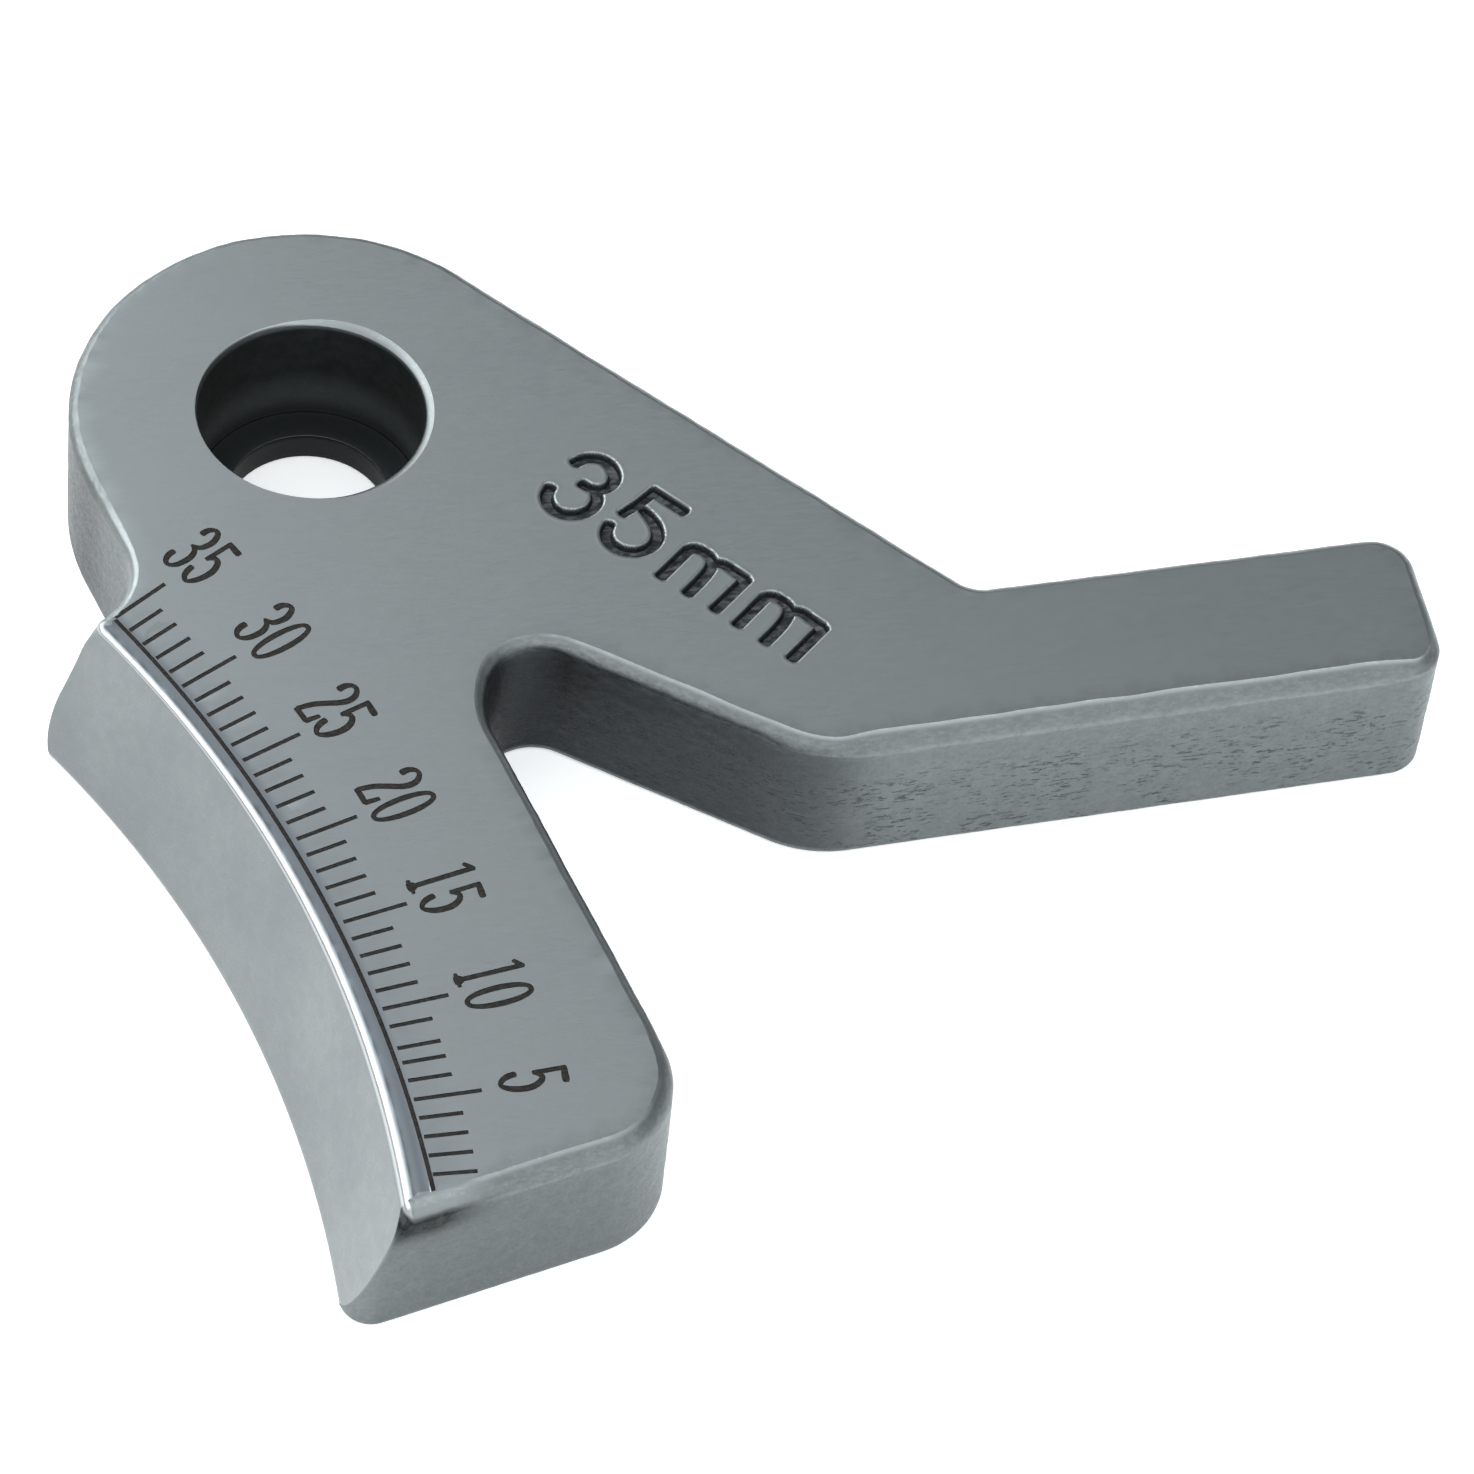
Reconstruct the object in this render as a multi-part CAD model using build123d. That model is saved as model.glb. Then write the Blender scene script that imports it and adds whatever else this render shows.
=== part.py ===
from build123d import *
import math
import os

# ---------------------------------------------------------------------------
# Graduated steel arm: a bored pivot eye, a concave bevelled jaw that carries a
# 0 to 35 mm scale, and a cranked tail, all in one flat piece of steel.
#
# Layout frame: origin on the axis of the pivot bore, Z = 0 on the underside,
# scale face at Z = THICK. The finished arm is turned by -TAIL_TURN about Z so
# that the tail lies along +X.
# ---------------------------------------------------------------------------

# ----- plate ---------------------------------------------------------------
THICK = 7.8            # plate thickness
EDGE_R = 0.55          # rounding of the scale-face edges
EDGE_R_UNDER = 0.30    # rounding of the underside edges
TAIL_TURN = 18.77      # layout angle of the tail, degrees

# ----- pivot eye -----------------------------------------------------------
EYE_R = 11.2           # outer radius of the eye
BORE_R = 5.3           # counterbore, open on the scale face
BORE_DEPTH = 6.3       # depth of the counterbore
PIN_R = 3.9            # through hole left below the counterbore
BORE_CHAMFER = 0.18    # broken edge of the counterbore mouth

# ----- straight walls: outward normal angle (degrees) and distance (mm) ------
LEVER_FAR = (58.74, EYE_R)        # tangent to the eye
TAIL_FAR = (108.30, -15.334)
TAIL_END = (17.50, 48.63)
TAIL_NEAR = (-71.23, 23.74)
LEVER_NEAR = (250.42, 7.18)
JAW_BACK = (30.12, 0.35)
JAW_END = (-60.60, 43.46)
HORN_END = (115.00, -9.52)
WAIST = (211.30, EYE_R)           # tangent to the eye

# ----- corner radii between those walls --------------------------------------
R_CRANK_IN = 1.6       # inside corner between lever and tail
R_TAIL_FAR = 1.9       # free end of the tail, far corner
R_TAIL_NEAR = 1.8      # free end of the tail, near corner
R_CRANK_OUT = 5.6      # outside corner between lever and tail
R_NOTCH = 2.42         # round inner end of the notch
NOTCH_C = (12.40, -14.60)
R_NOTCH_RUN = 5.0      # run-out from the notch into the jaw's back
R_JAW_CORNER = 4.4     # jaw back to jaw end
R_TIP = 1.4            # jaw end to jaw face
R_HORN = 0.8           # jaw face to horn end
R_WAIST = 3.5          # inside corner between eye and jaw horn

# ----- bevelled jaw face: a cone about a vertical axis -----------------------
JAW_C = (-49.52, -59.35)
JAW_R0 = 58.70         # cone radius at the underside
JAW_SLOPE = 0.338      # radius gained per mm of height
JAW_LAND_R = 58.80     # narrow upright land at the foot of the bevel

# ----- scale ----------------------------------------------------------------
MARK_DEPTH = 0.12      # depth of the scale engraving
FILL_RECESS = 0.02     # black filling stands this far below the face
LINE_W = 0.17          # width of the graduation lines
BASE_W = 0.15          # width of the base line
BASE_C = (-55.98, -64.31)
BASE_R = 70.25
BASE_END_A = (-7.04, -13.92)      # end of the base line at 35
BASE_END_B = (10.93, -42.97)      # end of the base line at 0
TICK_C = (-49.668, -60.397)       # arc through the inner ends of the lines
TICK_R = 63.19
TICK_MID = 18                     # graduation used as the angular datum
TICK_TH = 0.563321                # its polar angle, radians
TICK_PITCH = 0.0157209            # angle per graduation, radians
TICK_DIR = 31.99                  # direction of the datum line, degrees
TICK_DIR_STEP = 1.0634            # change of direction per graduation
TICK_SHORT = 1.88
TICK_LONG = 2.93
TICK_LAST = 35
TICK_SHIFT = {8: -0.20, 6: 0.03}  # lines cut slightly off pitch, mm along the arc

# ----- size mark --------------------------------------------------------------
SIZE_DEPTH = 0.40      # depth of the deep size mark
SIZE_FILL = 0.06       # black layer on its floor
SIZE_ORG = (12.0, -4.0)
SIZE_TURN = -31.3      # the mark runs along the lever

os.makedirs("parts", exist_ok=True)


# ---------------------------------------------------------------------------
# small plane geometry
# ---------------------------------------------------------------------------
def wall(spec):
    a = math.radians(spec[0])
    return (math.cos(a), math.sin(a), spec[1])


def meet(w1, w2, o1, o2):
    """Point at n1.P = d1 + o1 and n2.P = d2 + o2."""
    a, b, e = w1[0], w1[1], w1[2] + o1
    c, d, f = w2[0], w2[1], w2[2] + o2
    det = a * d - b * c
    return ((e * d - b * f) / det, (a * f - e * c) / det)


def foot(c, w):
    """Foot of the perpendicular from c on a wall."""
    k = w[2] - (w[0] * c[0] + w[1] * c[1])
    return (c[0] + k * w[0], c[1] + k * w[1])


def corner(s1, s2, r, convex=True):
    """Tangent round between two walls: (start, middle, end)."""
    w1, w2 = wall(s1), wall(s2)
    o = -r if convex else r
    c = meet(w1, w2, o, o)
    return round_at(c, foot(c, w1), foot(c, w2), r)


def round_at(c, p, q, r):
    mx, my = p[0] + q[0] - 2 * c[0], p[1] + q[1] - 2 * c[1]
    m = math.hypot(mx, my)
    return (p, (c[0] + r * mx / m, c[1] + r * my / m), q)


def jaw_corner(spec, r, near):
    """Tangent round between a wall and the jaw arc; near picks the side."""
    w = wall(spec)
    rr = JAW_LAND_R + r
    k = (w[2] - r) - (w[0] * JAW_C[0] + w[1] * JAW_C[1])
    h = math.sqrt(rr * rr - k * k)
    best = None
    for s in (1, -1):
        c = (JAW_C[0] + k * w[0] - s * h * w[1], JAW_C[1] + k * w[1] + s * h * w[0])
        g = math.hypot(c[0] - near[0], c[1] - near[1])
        if best is None or g < best[0]:
            best = (g, c)
    c = best[1]
    u = JAW_LAND_R / rr
    q = (JAW_C[0] + (c[0] - JAW_C[0]) * u, JAW_C[1] + (c[1] - JAW_C[1]) * u)
    return foot(c, w), q, round_at(c, foot(c, w), q, r)


def on_circle(c, r, a_deg):
    a = math.radians(a_deg)
    return (c[0] + r * math.cos(a), c[1] + r * math.sin(a))


# ---------------------------------------------------------------------------
# plan outline, clockwise from the eye
# ---------------------------------------------------------------------------
crank_in = corner(LEVER_FAR, TAIL_FAR, R_CRANK_IN, convex=False)
tail_far = corner(TAIL_FAR, TAIL_END, R_TAIL_FAR)
tail_near = corner(TAIL_END, TAIL_NEAR, R_TAIL_NEAR)
crank_out = corner(TAIL_NEAR, LEVER_NEAR, R_CRANK_OUT)
jaw_out = corner(JAW_BACK, JAW_END, R_JAW_CORNER)
waist_in = corner(HORN_END, WAIST, R_WAIST, convex=False)
_, _, tip = jaw_corner(JAW_END, R_TIP, (8.0, -44.0))
_, _, horn = jaw_corner(HORN_END, R_HORN, (-9.5, -15.5))

# notch: a short-radius end that runs out tangentially into the jaw's back
w_back = wall(JAW_BACK)
gap = w_back[2] + R_NOTCH_RUN - (w_back[0] * NOTCH_C[0] + w_back[1] * NOTCH_C[1])
side = math.sqrt((R_NOTCH_RUN - R_NOTCH) ** 2 - gap ** 2)
run_c = (NOTCH_C[0] + gap * w_back[0] + side * w_back[1],
         NOTCH_C[1] + gap * w_back[1] - side * w_back[0])
kx, ky = NOTCH_C[0] - run_c[0], NOTCH_C[1] - run_c[1]
kk = math.hypot(kx, ky)
notch_join = (NOTCH_C[0] + R_NOTCH * kx / kk, NOTCH_C[1] + R_NOTCH * ky / kk)
notch_a = foot(NOTCH_C, wall(LEVER_NEAR))
notch_arc = round_at(NOTCH_C, notch_a, notch_join, R_NOTCH)
run_arc = round_at(run_c, notch_join, foot(run_c, w_back), R_NOTCH_RUN)

eye_a = on_circle((0, 0), EYE_R, WAIST[0])
eye_m = on_circle((0, 0), EYE_R, 0.5 * (WAIST[0] + LEVER_FAR[0]))
eye_b = on_circle((0, 0), EYE_R, LEVER_FAR[0])

tip_q, horn_q = tip[2], horn[2]
a_t = math.atan2(tip_q[1] - JAW_C[1], tip_q[0] - JAW_C[0])
a_h = math.atan2(horn_q[1] - JAW_C[1], horn_q[0] - JAW_C[0])
jaw_m = on_circle(JAW_C, JAW_LAND_R, math.degrees(0.5 * (a_t + a_h)))


def arc3(a, b, c):
    return ThreePointArc(a, b, c).edge()


edges = [
    arc3(eye_a, eye_m, eye_b),
    Line(eye_b, crank_in[0]).edge(), arc3(*crank_in),
    Line(crank_in[2], tail_far[0]).edge(), arc3(*tail_far),
    Line(tail_far[2], tail_near[0]).edge(), arc3(*tail_near),
    Line(tail_near[2], crank_out[0]).edge(), arc3(*crank_out),
    Line(crank_out[2], notch_arc[0]).edge(), arc3(*notch_arc), arc3(*run_arc),
    Line(run_arc[2], jaw_out[0]).edge(), arc3(*jaw_out),
    Line(jaw_out[2], tip[0]).edge(), arc3(*tip),
    arc3(tip_q, jaw_m, horn_q),
    arc3(horn[2], horn[1], horn[0]),
    Line(horn[0], waist_in[0]).edge(), arc3(*waist_in),
    Line(waist_in[2], eye_a).edge(),
]
outline = Face(Wire(edges))
arm = extrude(outline, amount=THICK, dir=(0, 0, 1))
if arm.volume < 0:
    arm = -arm

# the bevel: everything inside the jaw cone is ground away
cone = Pos(JAW_C[0], JAW_C[1], -1.0) * Cone(
    JAW_R0 - JAW_SLOPE, JAW_R0 + JAW_SLOPE * (THICK + 1.0), THICK + 2.0,
    align=(Align.CENTER, Align.CENTER, Align.MIN))
arm = arm - cone


# ---------------------------------------------------------------------------
# edge rounding
# ---------------------------------------------------------------------------
def flat_edges(shape, z):
    out = []
    for e in shape.edges():
        bb = e.bounding_box()
        if abs(bb.min.Z - z) < 1e-4 and abs(bb.max.Z - z) < 1e-4:
            out.append(e)
    return out


arm = fillet(flat_edges(arm, THICK), EDGE_R)
arm = fillet(flat_edges(arm, 0.0), EDGE_R_UNDER)

# stepped pivot bore with broken edges
bore = Pos(0, 0, THICK - BORE_DEPTH) * Cylinder(
    BORE_R, BORE_DEPTH + 1.0, align=(Align.CENTER, Align.CENTER, Align.MIN))
pin = Pos(0, 0, -1.0) * Cylinder(
    PIN_R, THICK, align=(Align.CENTER, Align.CENTER, Align.MIN))
mouth = Pos(0, 0, THICK - BORE_CHAMFER) * Cone(
    BORE_R, BORE_R + 2 * BORE_CHAMFER, 2 * BORE_CHAMFER,
    align=(Align.CENTER, Align.CENTER, Align.MIN))
arm = arm - bore - pin - mouth


# ---------------------------------------------------------------------------
# strokes for numerals and the size mark
# ---------------------------------------------------------------------------
def smooth(pts, n=4):
    """Catmull-Rom through (x, y, width) points."""
    if len(pts) < 3:
        return list(pts)
    out = []
    p = [pts[0]] + list(pts) + [pts[-1]]
    for i in range(1, len(p) - 2):
        for k in range(n):
            t = k / n
            row = []
            for j in range(3):
                a, b, c, d = p[i - 1][j], p[i][j], p[i + 1][j], p[i + 2][j]
                row.append(0.5 * (2 * b + (c - a) * t + (2 * a - 5 * b + 4 * c - d) * t * t
                                  + (3 * b - a - 3 * c + d) * t ** 3))
            out.append(tuple(row))
    out.append(tuple(pts[-1]))
    return out


def ribbon(pts, straight=False):
    """Closed polygon around a stroke of varying width, with clipped-corner ends."""
    q = list(pts) if straight else smooth(pts)
    left, right = [], []
    n = len(q)
    for i, (x, y, w) in enumerate(q):
        a, b = q[max(i - 1, 0)], q[min(i + 1, n - 1)]
        dx, dy = b[0] - a[0], b[1] - a[1]
        m = math.hypot(dx, dy)
        nx, ny = -dy / m, dx / m
        left.append((x + nx * w / 2, y + ny * w / 2))
        right.append((x - nx * w / 2, y - ny * w / 2))

    def cap(l, r, a, b):
        dx, dy = b[0] - a[0], b[1] - a[1]
        m = math.hypot(dx, dy)
        w = math.hypot(l[0] - r[0], l[1] - r[1])
        ex, ey = dx / m * w * 0.22, dy / m * w * 0.22
        return [(l[0] + (r[0] - l[0]) * f + ex * g, l[1] + (r[1] - l[1]) * f + ey * g)
                for f, g in ((0.18, 0.8), (0.5, 1.0), (0.82, 0.8))]

    end = cap(left[-1], right[-1], q[-2], q[-1])
    start = cap(right[0], left[0], q[1], q[0])
    return left + end + right[::-1] + start


def place(pts, org, turn, sx=1.0, sy=1.0, dx=0.0, dy=0.0):
    c, s = math.cos(turn), math.sin(turn)
    out = []
    for x, y in pts:
        u, v = x * sx + dx, y * sy + dy
        out.append((org[0] + u * c - v * s, org[1] + u * s + v * c))
    return out


def slab(poly, z0, z1):
    f = Face(Wire.make_polygon([(x, y, z0) for x, y in poly], close=True))
    s = extrude(f, amount=z1 - z0, dir=(0, 0, 1))
    return s


# Digits on a cell 1.0 wide and 3.1 high; each stroke is (x, y, width) points.
DIGIT = {
    "0": [("ring", 0.50, 1.55, 0.43, 1.48, 0.27, 0.21)],
    "1": [("line", [(0.50, 3.05, 0.26), (0.50, 0.10, 0.26)]),
          ("line", [(0.42, 2.95, 0.24), (0.10, 2.72, 0.18)]),
          ("line", [(0.50, 0.18, 0.46), (0.50, 0.0, 0.66)]),
          ("line", [(0.10, 0.02, 0.15), (0.90, 0.02, 0.15)])],
    "2": [("curve", [(0.12, 2.32, 0.30), (0.10, 2.66, 0.27), (0.24, 2.96, 0.20), (0.50, 3.02, 0.20),
                     (0.78, 2.76, 0.26), (0.86, 2.36, 0.28), (0.76, 1.92, 0.27), (0.50, 1.36, 0.26),
                     (0.27, 0.80, 0.25), (0.14, 0.10, 0.22)]),
          ("line", [(0.12, 0.06, 0.24), (0.90, 0.06, 0.24)]),
          ("line", [(0.90, 0.05, 0.24), (0.96, 0.72, 0.18)])],
    "3": [("curve", [(0.12, 2.44, 0.30), (0.14, 2.78, 0.28), (0.36, 3.04, 0.20), (0.60, 2.96, 0.24),
                     (0.80, 2.56, 0.28), (0.80, 2.14, 0.27), (0.68, 1.80, 0.24), (0.38, 1.64, 0.15)]),
          ("curve", [(0.34, 1.66, 0.12), (0.66, 1.52, 0.22), (0.84, 1.18, 0.27), (0.86, 0.76, 0.28),
                     (0.78, 0.34, 0.25), (0.54, 0.05, 0.18), (0.28, 0.14, 0.22), (0.13, 0.42, 0.28),
                     (0.10, 0.74, 0.28)])],
    "5": [("line", [(0.14, 3.06, 0.20), (0.14, 1.62, 0.21)]),
          ("line", [(0.08, 3.00, 0.22), (0.62, 2.93, 0.30), (0.82, 2.92, 0.27)]),
          ("curve", [(0.14, 1.70, 0.22), (0.36, 1.94, 0.22), (0.62, 1.84, 0.25), (0.82, 1.46, 0.28),
                     (0.86, 0.98, 0.28), (0.76, 0.44, 0.26), (0.52, 0.07, 0.18), (0.26, 0.20, 0.23),
                     (0.12, 0.48, 0.27), (0.06, 0.80, 0.26)])],
}

# numeral: list of (digit, x of the cell's left side, y of its base, x and y scale)
NUMERAL = {
    35: [("3", -1.42, 0.82, 1.00, 0.99), ("5", -0.16, 0.82, 1.02, 1.00)],
    30: [("3", -1.44, 0.72, 1.03, 0.99), ("0", -0.12, 0.69, 0.98, 0.99)],
    25: [("2", -1.48, 0.58, 1.05, 0.98), ("5", -0.20, 0.63, 1.08, 0.98)],
    20: [("2", -1.48, 0.63, 1.05, 0.98), ("0", -0.12, 0.60, 0.98, 0.99)],
    15: [("1", -1.20, 0.50, 0.90, 0.99), ("5", 0.00, 0.50, 1.02, 0.96)],
    10: [("1", -1.02, 0.62, 0.88, 0.99), ("0", 0.20, 0.61, 1.00, 0.98)],
    5: [("5", -0.52, 0.82, 1.03, 0.99)],
}

# Deep size mark, in its own frame along the lever.
SIZE_STROKES = {
    "size_digit_3_fill": [
        ("curve", [(-1.08, 2.42, 0.60), (-0.86, 3.02, 0.60), (-0.34, 3.42, 0.60), (0.28, 3.42, 0.62),
                   (0.82, 3.06, 0.62), (1.02, 2.52, 0.60), (0.86, 2.02, 0.58), (0.40, 1.74, 0.52),
                   (-0.14, 1.70, 0.50)]),
        ("curve", [(0.62, 1.84, 0.50), (1.08, 1.36, 0.60), (1.20, 0.76, 0.62), (0.96, 0.12, 0.62),
                   (0.38, -0.32, 0.62), (-0.28, -0.34, 0.62), (-0.84, 0.06, 0.62), (-1.06, 0.66, 0.58)])],
    "size_digit_5_fill": [
        ("line", [(2.62, 3.46, 0.60), (4.62, 3.42, 0.60)]),
        ("line", [(2.78, 3.50, 0.56), (2.66, 2.40, 0.54), (2.46, 1.42, 0.50)]),
        ("curve", [(2.96, 2.30, 0.44), (3.46, 2.16, 0.56), (4.10, 1.88, 0.60), (4.56, 1.36, 0.62),
                   (4.66, 0.72, 0.62), (4.36, 0.08, 0.62), (3.74, -0.30, 0.62), (3.06, -0.28, 0.62),
                   (2.56, 0.12, 0.60), (2.36, 0.66, 0.54)])],
    "size_letter_m1_fill": [
        ("line", [(6.06, 1.80, 0.60), (6.06, -0.40, 0.62)]),
        ("curve", [(6.06, 1.70, 0.60), (6.26, 1.98, 0.58), (6.70, 2.08, 0.54), (7.18, 1.98, 0.54),
                   (7.46, 1.60, 0.58), (7.58, 0.80, 0.62), (7.60, -0.40, 0.62)]),
        ("curve", [(7.44, 1.86, 0.54), (7.86, 2.08, 0.54), (8.40, 2.06, 0.54), (9.14, 2.02, 0.56)]),
        ("line", [(9.14, 2.10, 0.60), (9.12, -0.36, 0.62)])],
    "size_letter_m2_fill": [
        ("line", [(10.44, 1.80, 0.60), (10.44, -0.42, 0.62)]),
        ("curve", [(10.44, 1.70, 0.60), (10.64, 1.98, 0.58), (11.08, 2.08, 0.54), (11.56, 1.98, 0.54),
                   (11.84, 1.60, 0.58), (11.98, 0.80, 0.62), (12.00, -0.42, 0.62)]),
        ("curve", [(11.82, 1.86, 0.54), (12.24, 2.10, 0.54), (12.78, 2.06, 0.54), (13.50, 2.02, 0.56)]),
        ("line", [(13.52, 2.10, 0.60), (13.50, -0.40, 0.62)])],
}


def strokes_to_solid(strokes, z0, z1, tf):
    """Union of stroke slabs, tf maps a polygon into the layout frame."""
    body = None
    for s in strokes:
        if s[0] == "ring":
            _, cx, cy, rx, ry, ws, wt = s
            outer = [(cx + (rx + ws / 2) * math.cos(t) * (abs(math.cos(t)) ** -0.12 if abs(math.cos(t)) > 0.05 else 1),
                      cy + (ry + wt / 2) * math.sin(t)) for t in [2 * math.pi * k / 40 for k in range(40)]]
            inner = [(cx + (rx - ws / 2) * math.cos(t) * (abs(math.cos(t)) ** -0.12 if abs(math.cos(t)) > 0.05 else 1),
                      cy + (ry - wt / 2) * math.sin(t)) for t in [2 * math.pi * k / 40 for k in range(40)]]
            piece = slab(tf(outer), z0, z1) - slab(tf(inner), z0 - 1, z1 + 1)
        else:
            piece = slab(tf(ribbon(s[1], straight=(s[0] == "line"))), z0, z1)
        body = piece if body is None else body + piece
    return body


def tick_points(n):
    th = TICK_TH + (n - TICK_MID) * TICK_PITCH + TICK_SHIFT.get(n, 0.0) / TICK_R
    a = math.radians(TICK_DIR + (n - TICK_MID) * TICK_DIR_STEP)
    p = (TICK_C[0] + TICK_R * math.cos(th), TICK_C[1] + TICK_R * math.sin(th))
    ln = TICK_LONG if n % 5 == 0 else TICK_SHORT
    return p, (p[0] + ln * math.cos(a), p[1] + ln * math.sin(a)), a


def tick_poly(n):
    p, q, a = tick_points(n)
    nx, ny = -math.sin(a) * LINE_W / 2, math.cos(a) * LINE_W / 2
    return [(p[0] + nx, p[1] + ny), (q[0] + nx, q[1] + ny), (q[0] - nx, q[1] - ny), (p[0] - nx, p[1] - ny)]


def base_poly():
    a0 = math.atan2(BASE_END_A[1] - BASE_C[1], BASE_END_A[0] - BASE_C[0])
    a1 = math.atan2(BASE_END_B[1] - BASE_C[1], BASE_END_B[0] - BASE_C[0])
    k = 36
    out = []
    for r, order in ((BASE_R + BASE_W / 2, range(k + 1)), (BASE_R - BASE_W / 2, range(k, -1, -1))):
        for i in order:
            t = a0 + (a1 - a0) * i / k
            out.append((BASE_C[0] + r * math.cos(t), BASE_C[1] + r * math.sin(t)))
    return out


# numerals sit on the line of their long graduation, tops pointing outwards
NUM_R = 62.705 + 2.927     # radius of the numerals' datum, about NUM_C
NUM_C = (-49.255, -60.134)
NUM_TH = 0.5632            # polar angle of the datum at graduation 18
NUM_PITCH = 1.0 / 62.943


def numeral_tf(n, x, y, sx, sy):
    th = NUM_TH + (n - TICK_MID) * NUM_PITCH
    org = (NUM_C[0] + NUM_R * math.cos(th), NUM_C[1] + NUM_R * math.sin(th))
    turn = th - math.pi / 2
    return lambda poly: place(poly, org, turn, sx, sy, x, y)


Z0, Z1, ZT = THICK - MARK_DEPTH, THICK - FILL_RECESS, THICK + 0.5
fills = {}
cuts = []

line = base_poly()
fills["scale_base_line_fill"] = slab(line, Z0, Z1)
cuts.append(slab(line, Z0, ZT))

major, minor = [], []
base_cut = slab(line, Z0 - 1, ZT)
for n in range(1, TICK_LAST + 1):
    poly = tick_poly(n)
    group = major if n % 5 == 0 else minor
    body = slab(poly, Z0, Z1) - base_cut
    group.extend(body.solids())
    cuts.append(slab(poly, Z0, ZT))
fills["scale_long_mark_fill"] = Compound(major)
fills["scale_short_mark_fill"] = Compound(minor)

for n, cells in NUMERAL.items():
    solids = []
    for digit, x, y, sx, sy in cells:
        tf = numeral_tf(n, x, y, sx, sy)
        solids.extend(strokes_to_solid(DIGIT[digit], Z0, Z1, tf).solids())
        cuts.extend(strokes_to_solid(DIGIT[digit], Z0, ZT, tf).solids())
    fills["numeral_%02d_fill" % n] = Compound(solids) if len(solids) > 1 else solids[0]

size_turn = math.radians(SIZE_TURN)
for name, strokes in SIZE_STROKES.items():
    tf = lambda poly: place(poly, SIZE_ORG, size_turn)
    fills[name] = strokes_to_solid(strokes, THICK - SIZE_DEPTH, THICK - SIZE_DEPTH + SIZE_FILL, tf)
    cuts.extend(strokes_to_solid(strokes, THICK - SIZE_DEPTH, ZT, tf).solids())

arm = arm.cut(*cuts)

# ---------------------------------------------------------------------------
# turn so that the tail lies along +X, and write one file per node
# ---------------------------------------------------------------------------
turned = Rot(0, 0, -TAIL_TURN)


def single(shape):
    s = shape.solids()
    return s[0] if len(s) == 1 else Compound(list(s))


nodes = {"steel_arm": arm}
nodes.update(fills)
for name, shape in nodes.items():
    out = turned * single(shape)
    export_step(out, "parts/%s.step" % name)
    bb = out.bounding_box()
    print("%-26s solids %2d  volume %9.3f  size %.2f x %.2f x %.2f" % (
        name, len(out.solids()), out.volume, bb.size.X, bb.size.Y, bb.size.Z))
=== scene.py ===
import math

import bpy
import numpy as np
from mathutils import Matrix, Vector, noise
from mathutils.geometry import delaunay_2d_cdt


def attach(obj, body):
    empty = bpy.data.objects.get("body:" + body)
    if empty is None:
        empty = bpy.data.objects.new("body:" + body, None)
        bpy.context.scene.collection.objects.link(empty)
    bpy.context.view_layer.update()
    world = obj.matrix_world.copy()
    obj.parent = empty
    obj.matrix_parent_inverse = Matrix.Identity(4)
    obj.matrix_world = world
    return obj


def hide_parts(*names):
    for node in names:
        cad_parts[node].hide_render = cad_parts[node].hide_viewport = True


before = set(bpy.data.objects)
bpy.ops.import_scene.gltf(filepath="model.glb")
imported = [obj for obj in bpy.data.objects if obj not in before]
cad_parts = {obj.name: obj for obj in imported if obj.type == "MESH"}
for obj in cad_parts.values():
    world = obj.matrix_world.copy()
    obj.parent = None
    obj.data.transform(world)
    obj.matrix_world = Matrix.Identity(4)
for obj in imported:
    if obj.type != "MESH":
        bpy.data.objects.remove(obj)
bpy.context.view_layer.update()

# ---------------------------------------------------------------------------
# Layout frame (mm): origin on the bore axis, Z = 0 on the underside. It is the
# row frame before the turn that lays the tail along +X.
# ---------------------------------------------------------------------------
THICK = 7.8
TAIL_TURN = 18.77
EYE_R, BORE_R, BORE_DEPTH, PIN_R = 11.2, 5.3, 6.3, 3.80
LEVER_FAR, TAIL_FAR, TAIL_END = (58.74, EYE_R), (108.30, -15.334), (17.50, 48.63)
TAIL_NEAR, LEVER_NEAR, JAW_BACK = (-71.23, 23.74), (250.42, 7.18), (30.12, 0.35)
JAW_END, HORN_END, WAIST = (-60.60, 43.46), (115.00, -9.52), (211.30, EYE_R)
R_CRANK_IN, R_TAIL_FAR, R_TAIL_NEAR, R_CRANK_OUT = 1.6, 1.9, 1.8, 5.6
R_NOTCH, NOTCH_C, R_NOTCH_RUN = 2.42, (12.40, -14.60), 5.0
R_JAW_CORNER, R_TIP, R_HORN, R_WAIST = 4.4, 1.4, 0.8, 3.5
JAW_C, JAW_R0, JAW_SLOPE, JAW_LAND_R = (-49.52, -59.35), 58.70, 0.338, 58.80
EDGE_UNDER = 0.28

MARK_DEPTH, LINE_W, BASE_W = 0.12, 0.17, 0.15
BASE_C, BASE_R = (-55.98, -64.31), 70.25
BASE_END_A, BASE_END_B = (-7.04, -13.92), (10.93, -42.97)
TICK_C, TICK_R, TICK_MID, TICK_TH, TICK_PITCH = (-49.668, -60.397), 63.19, 18, 0.563321, 0.0157209
TICK_DIR, TICK_DIR_STEP, TICK_SHORT, TICK_LONG = 31.99, 1.0634, 1.88, 2.93
TICK_SHIFT = {8: -0.20, 6: 0.03}
NUM_R, NUM_C, NUM_TH, NUM_PITCH = 65.632, (-49.255, -60.134), 0.5632, 1.0 / 62.943
SIZE_DEPTH, SIZE_ORG, SIZE_TURN = 0.40, (12.0, -4.0), -31.3

TURN = math.radians(-TAIL_TURN)
CT, ST = math.cos(TURN), math.sin(TURN)


def to_row(p):
    """Layout points in mm to the row frame in metres."""
    p = np.asarray(p, float)
    return np.stack([CT * p[..., 0] - ST * p[..., 1], ST * p[..., 0] + CT * p[..., 1], p[..., 2]], -1) * 0.001


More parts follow.
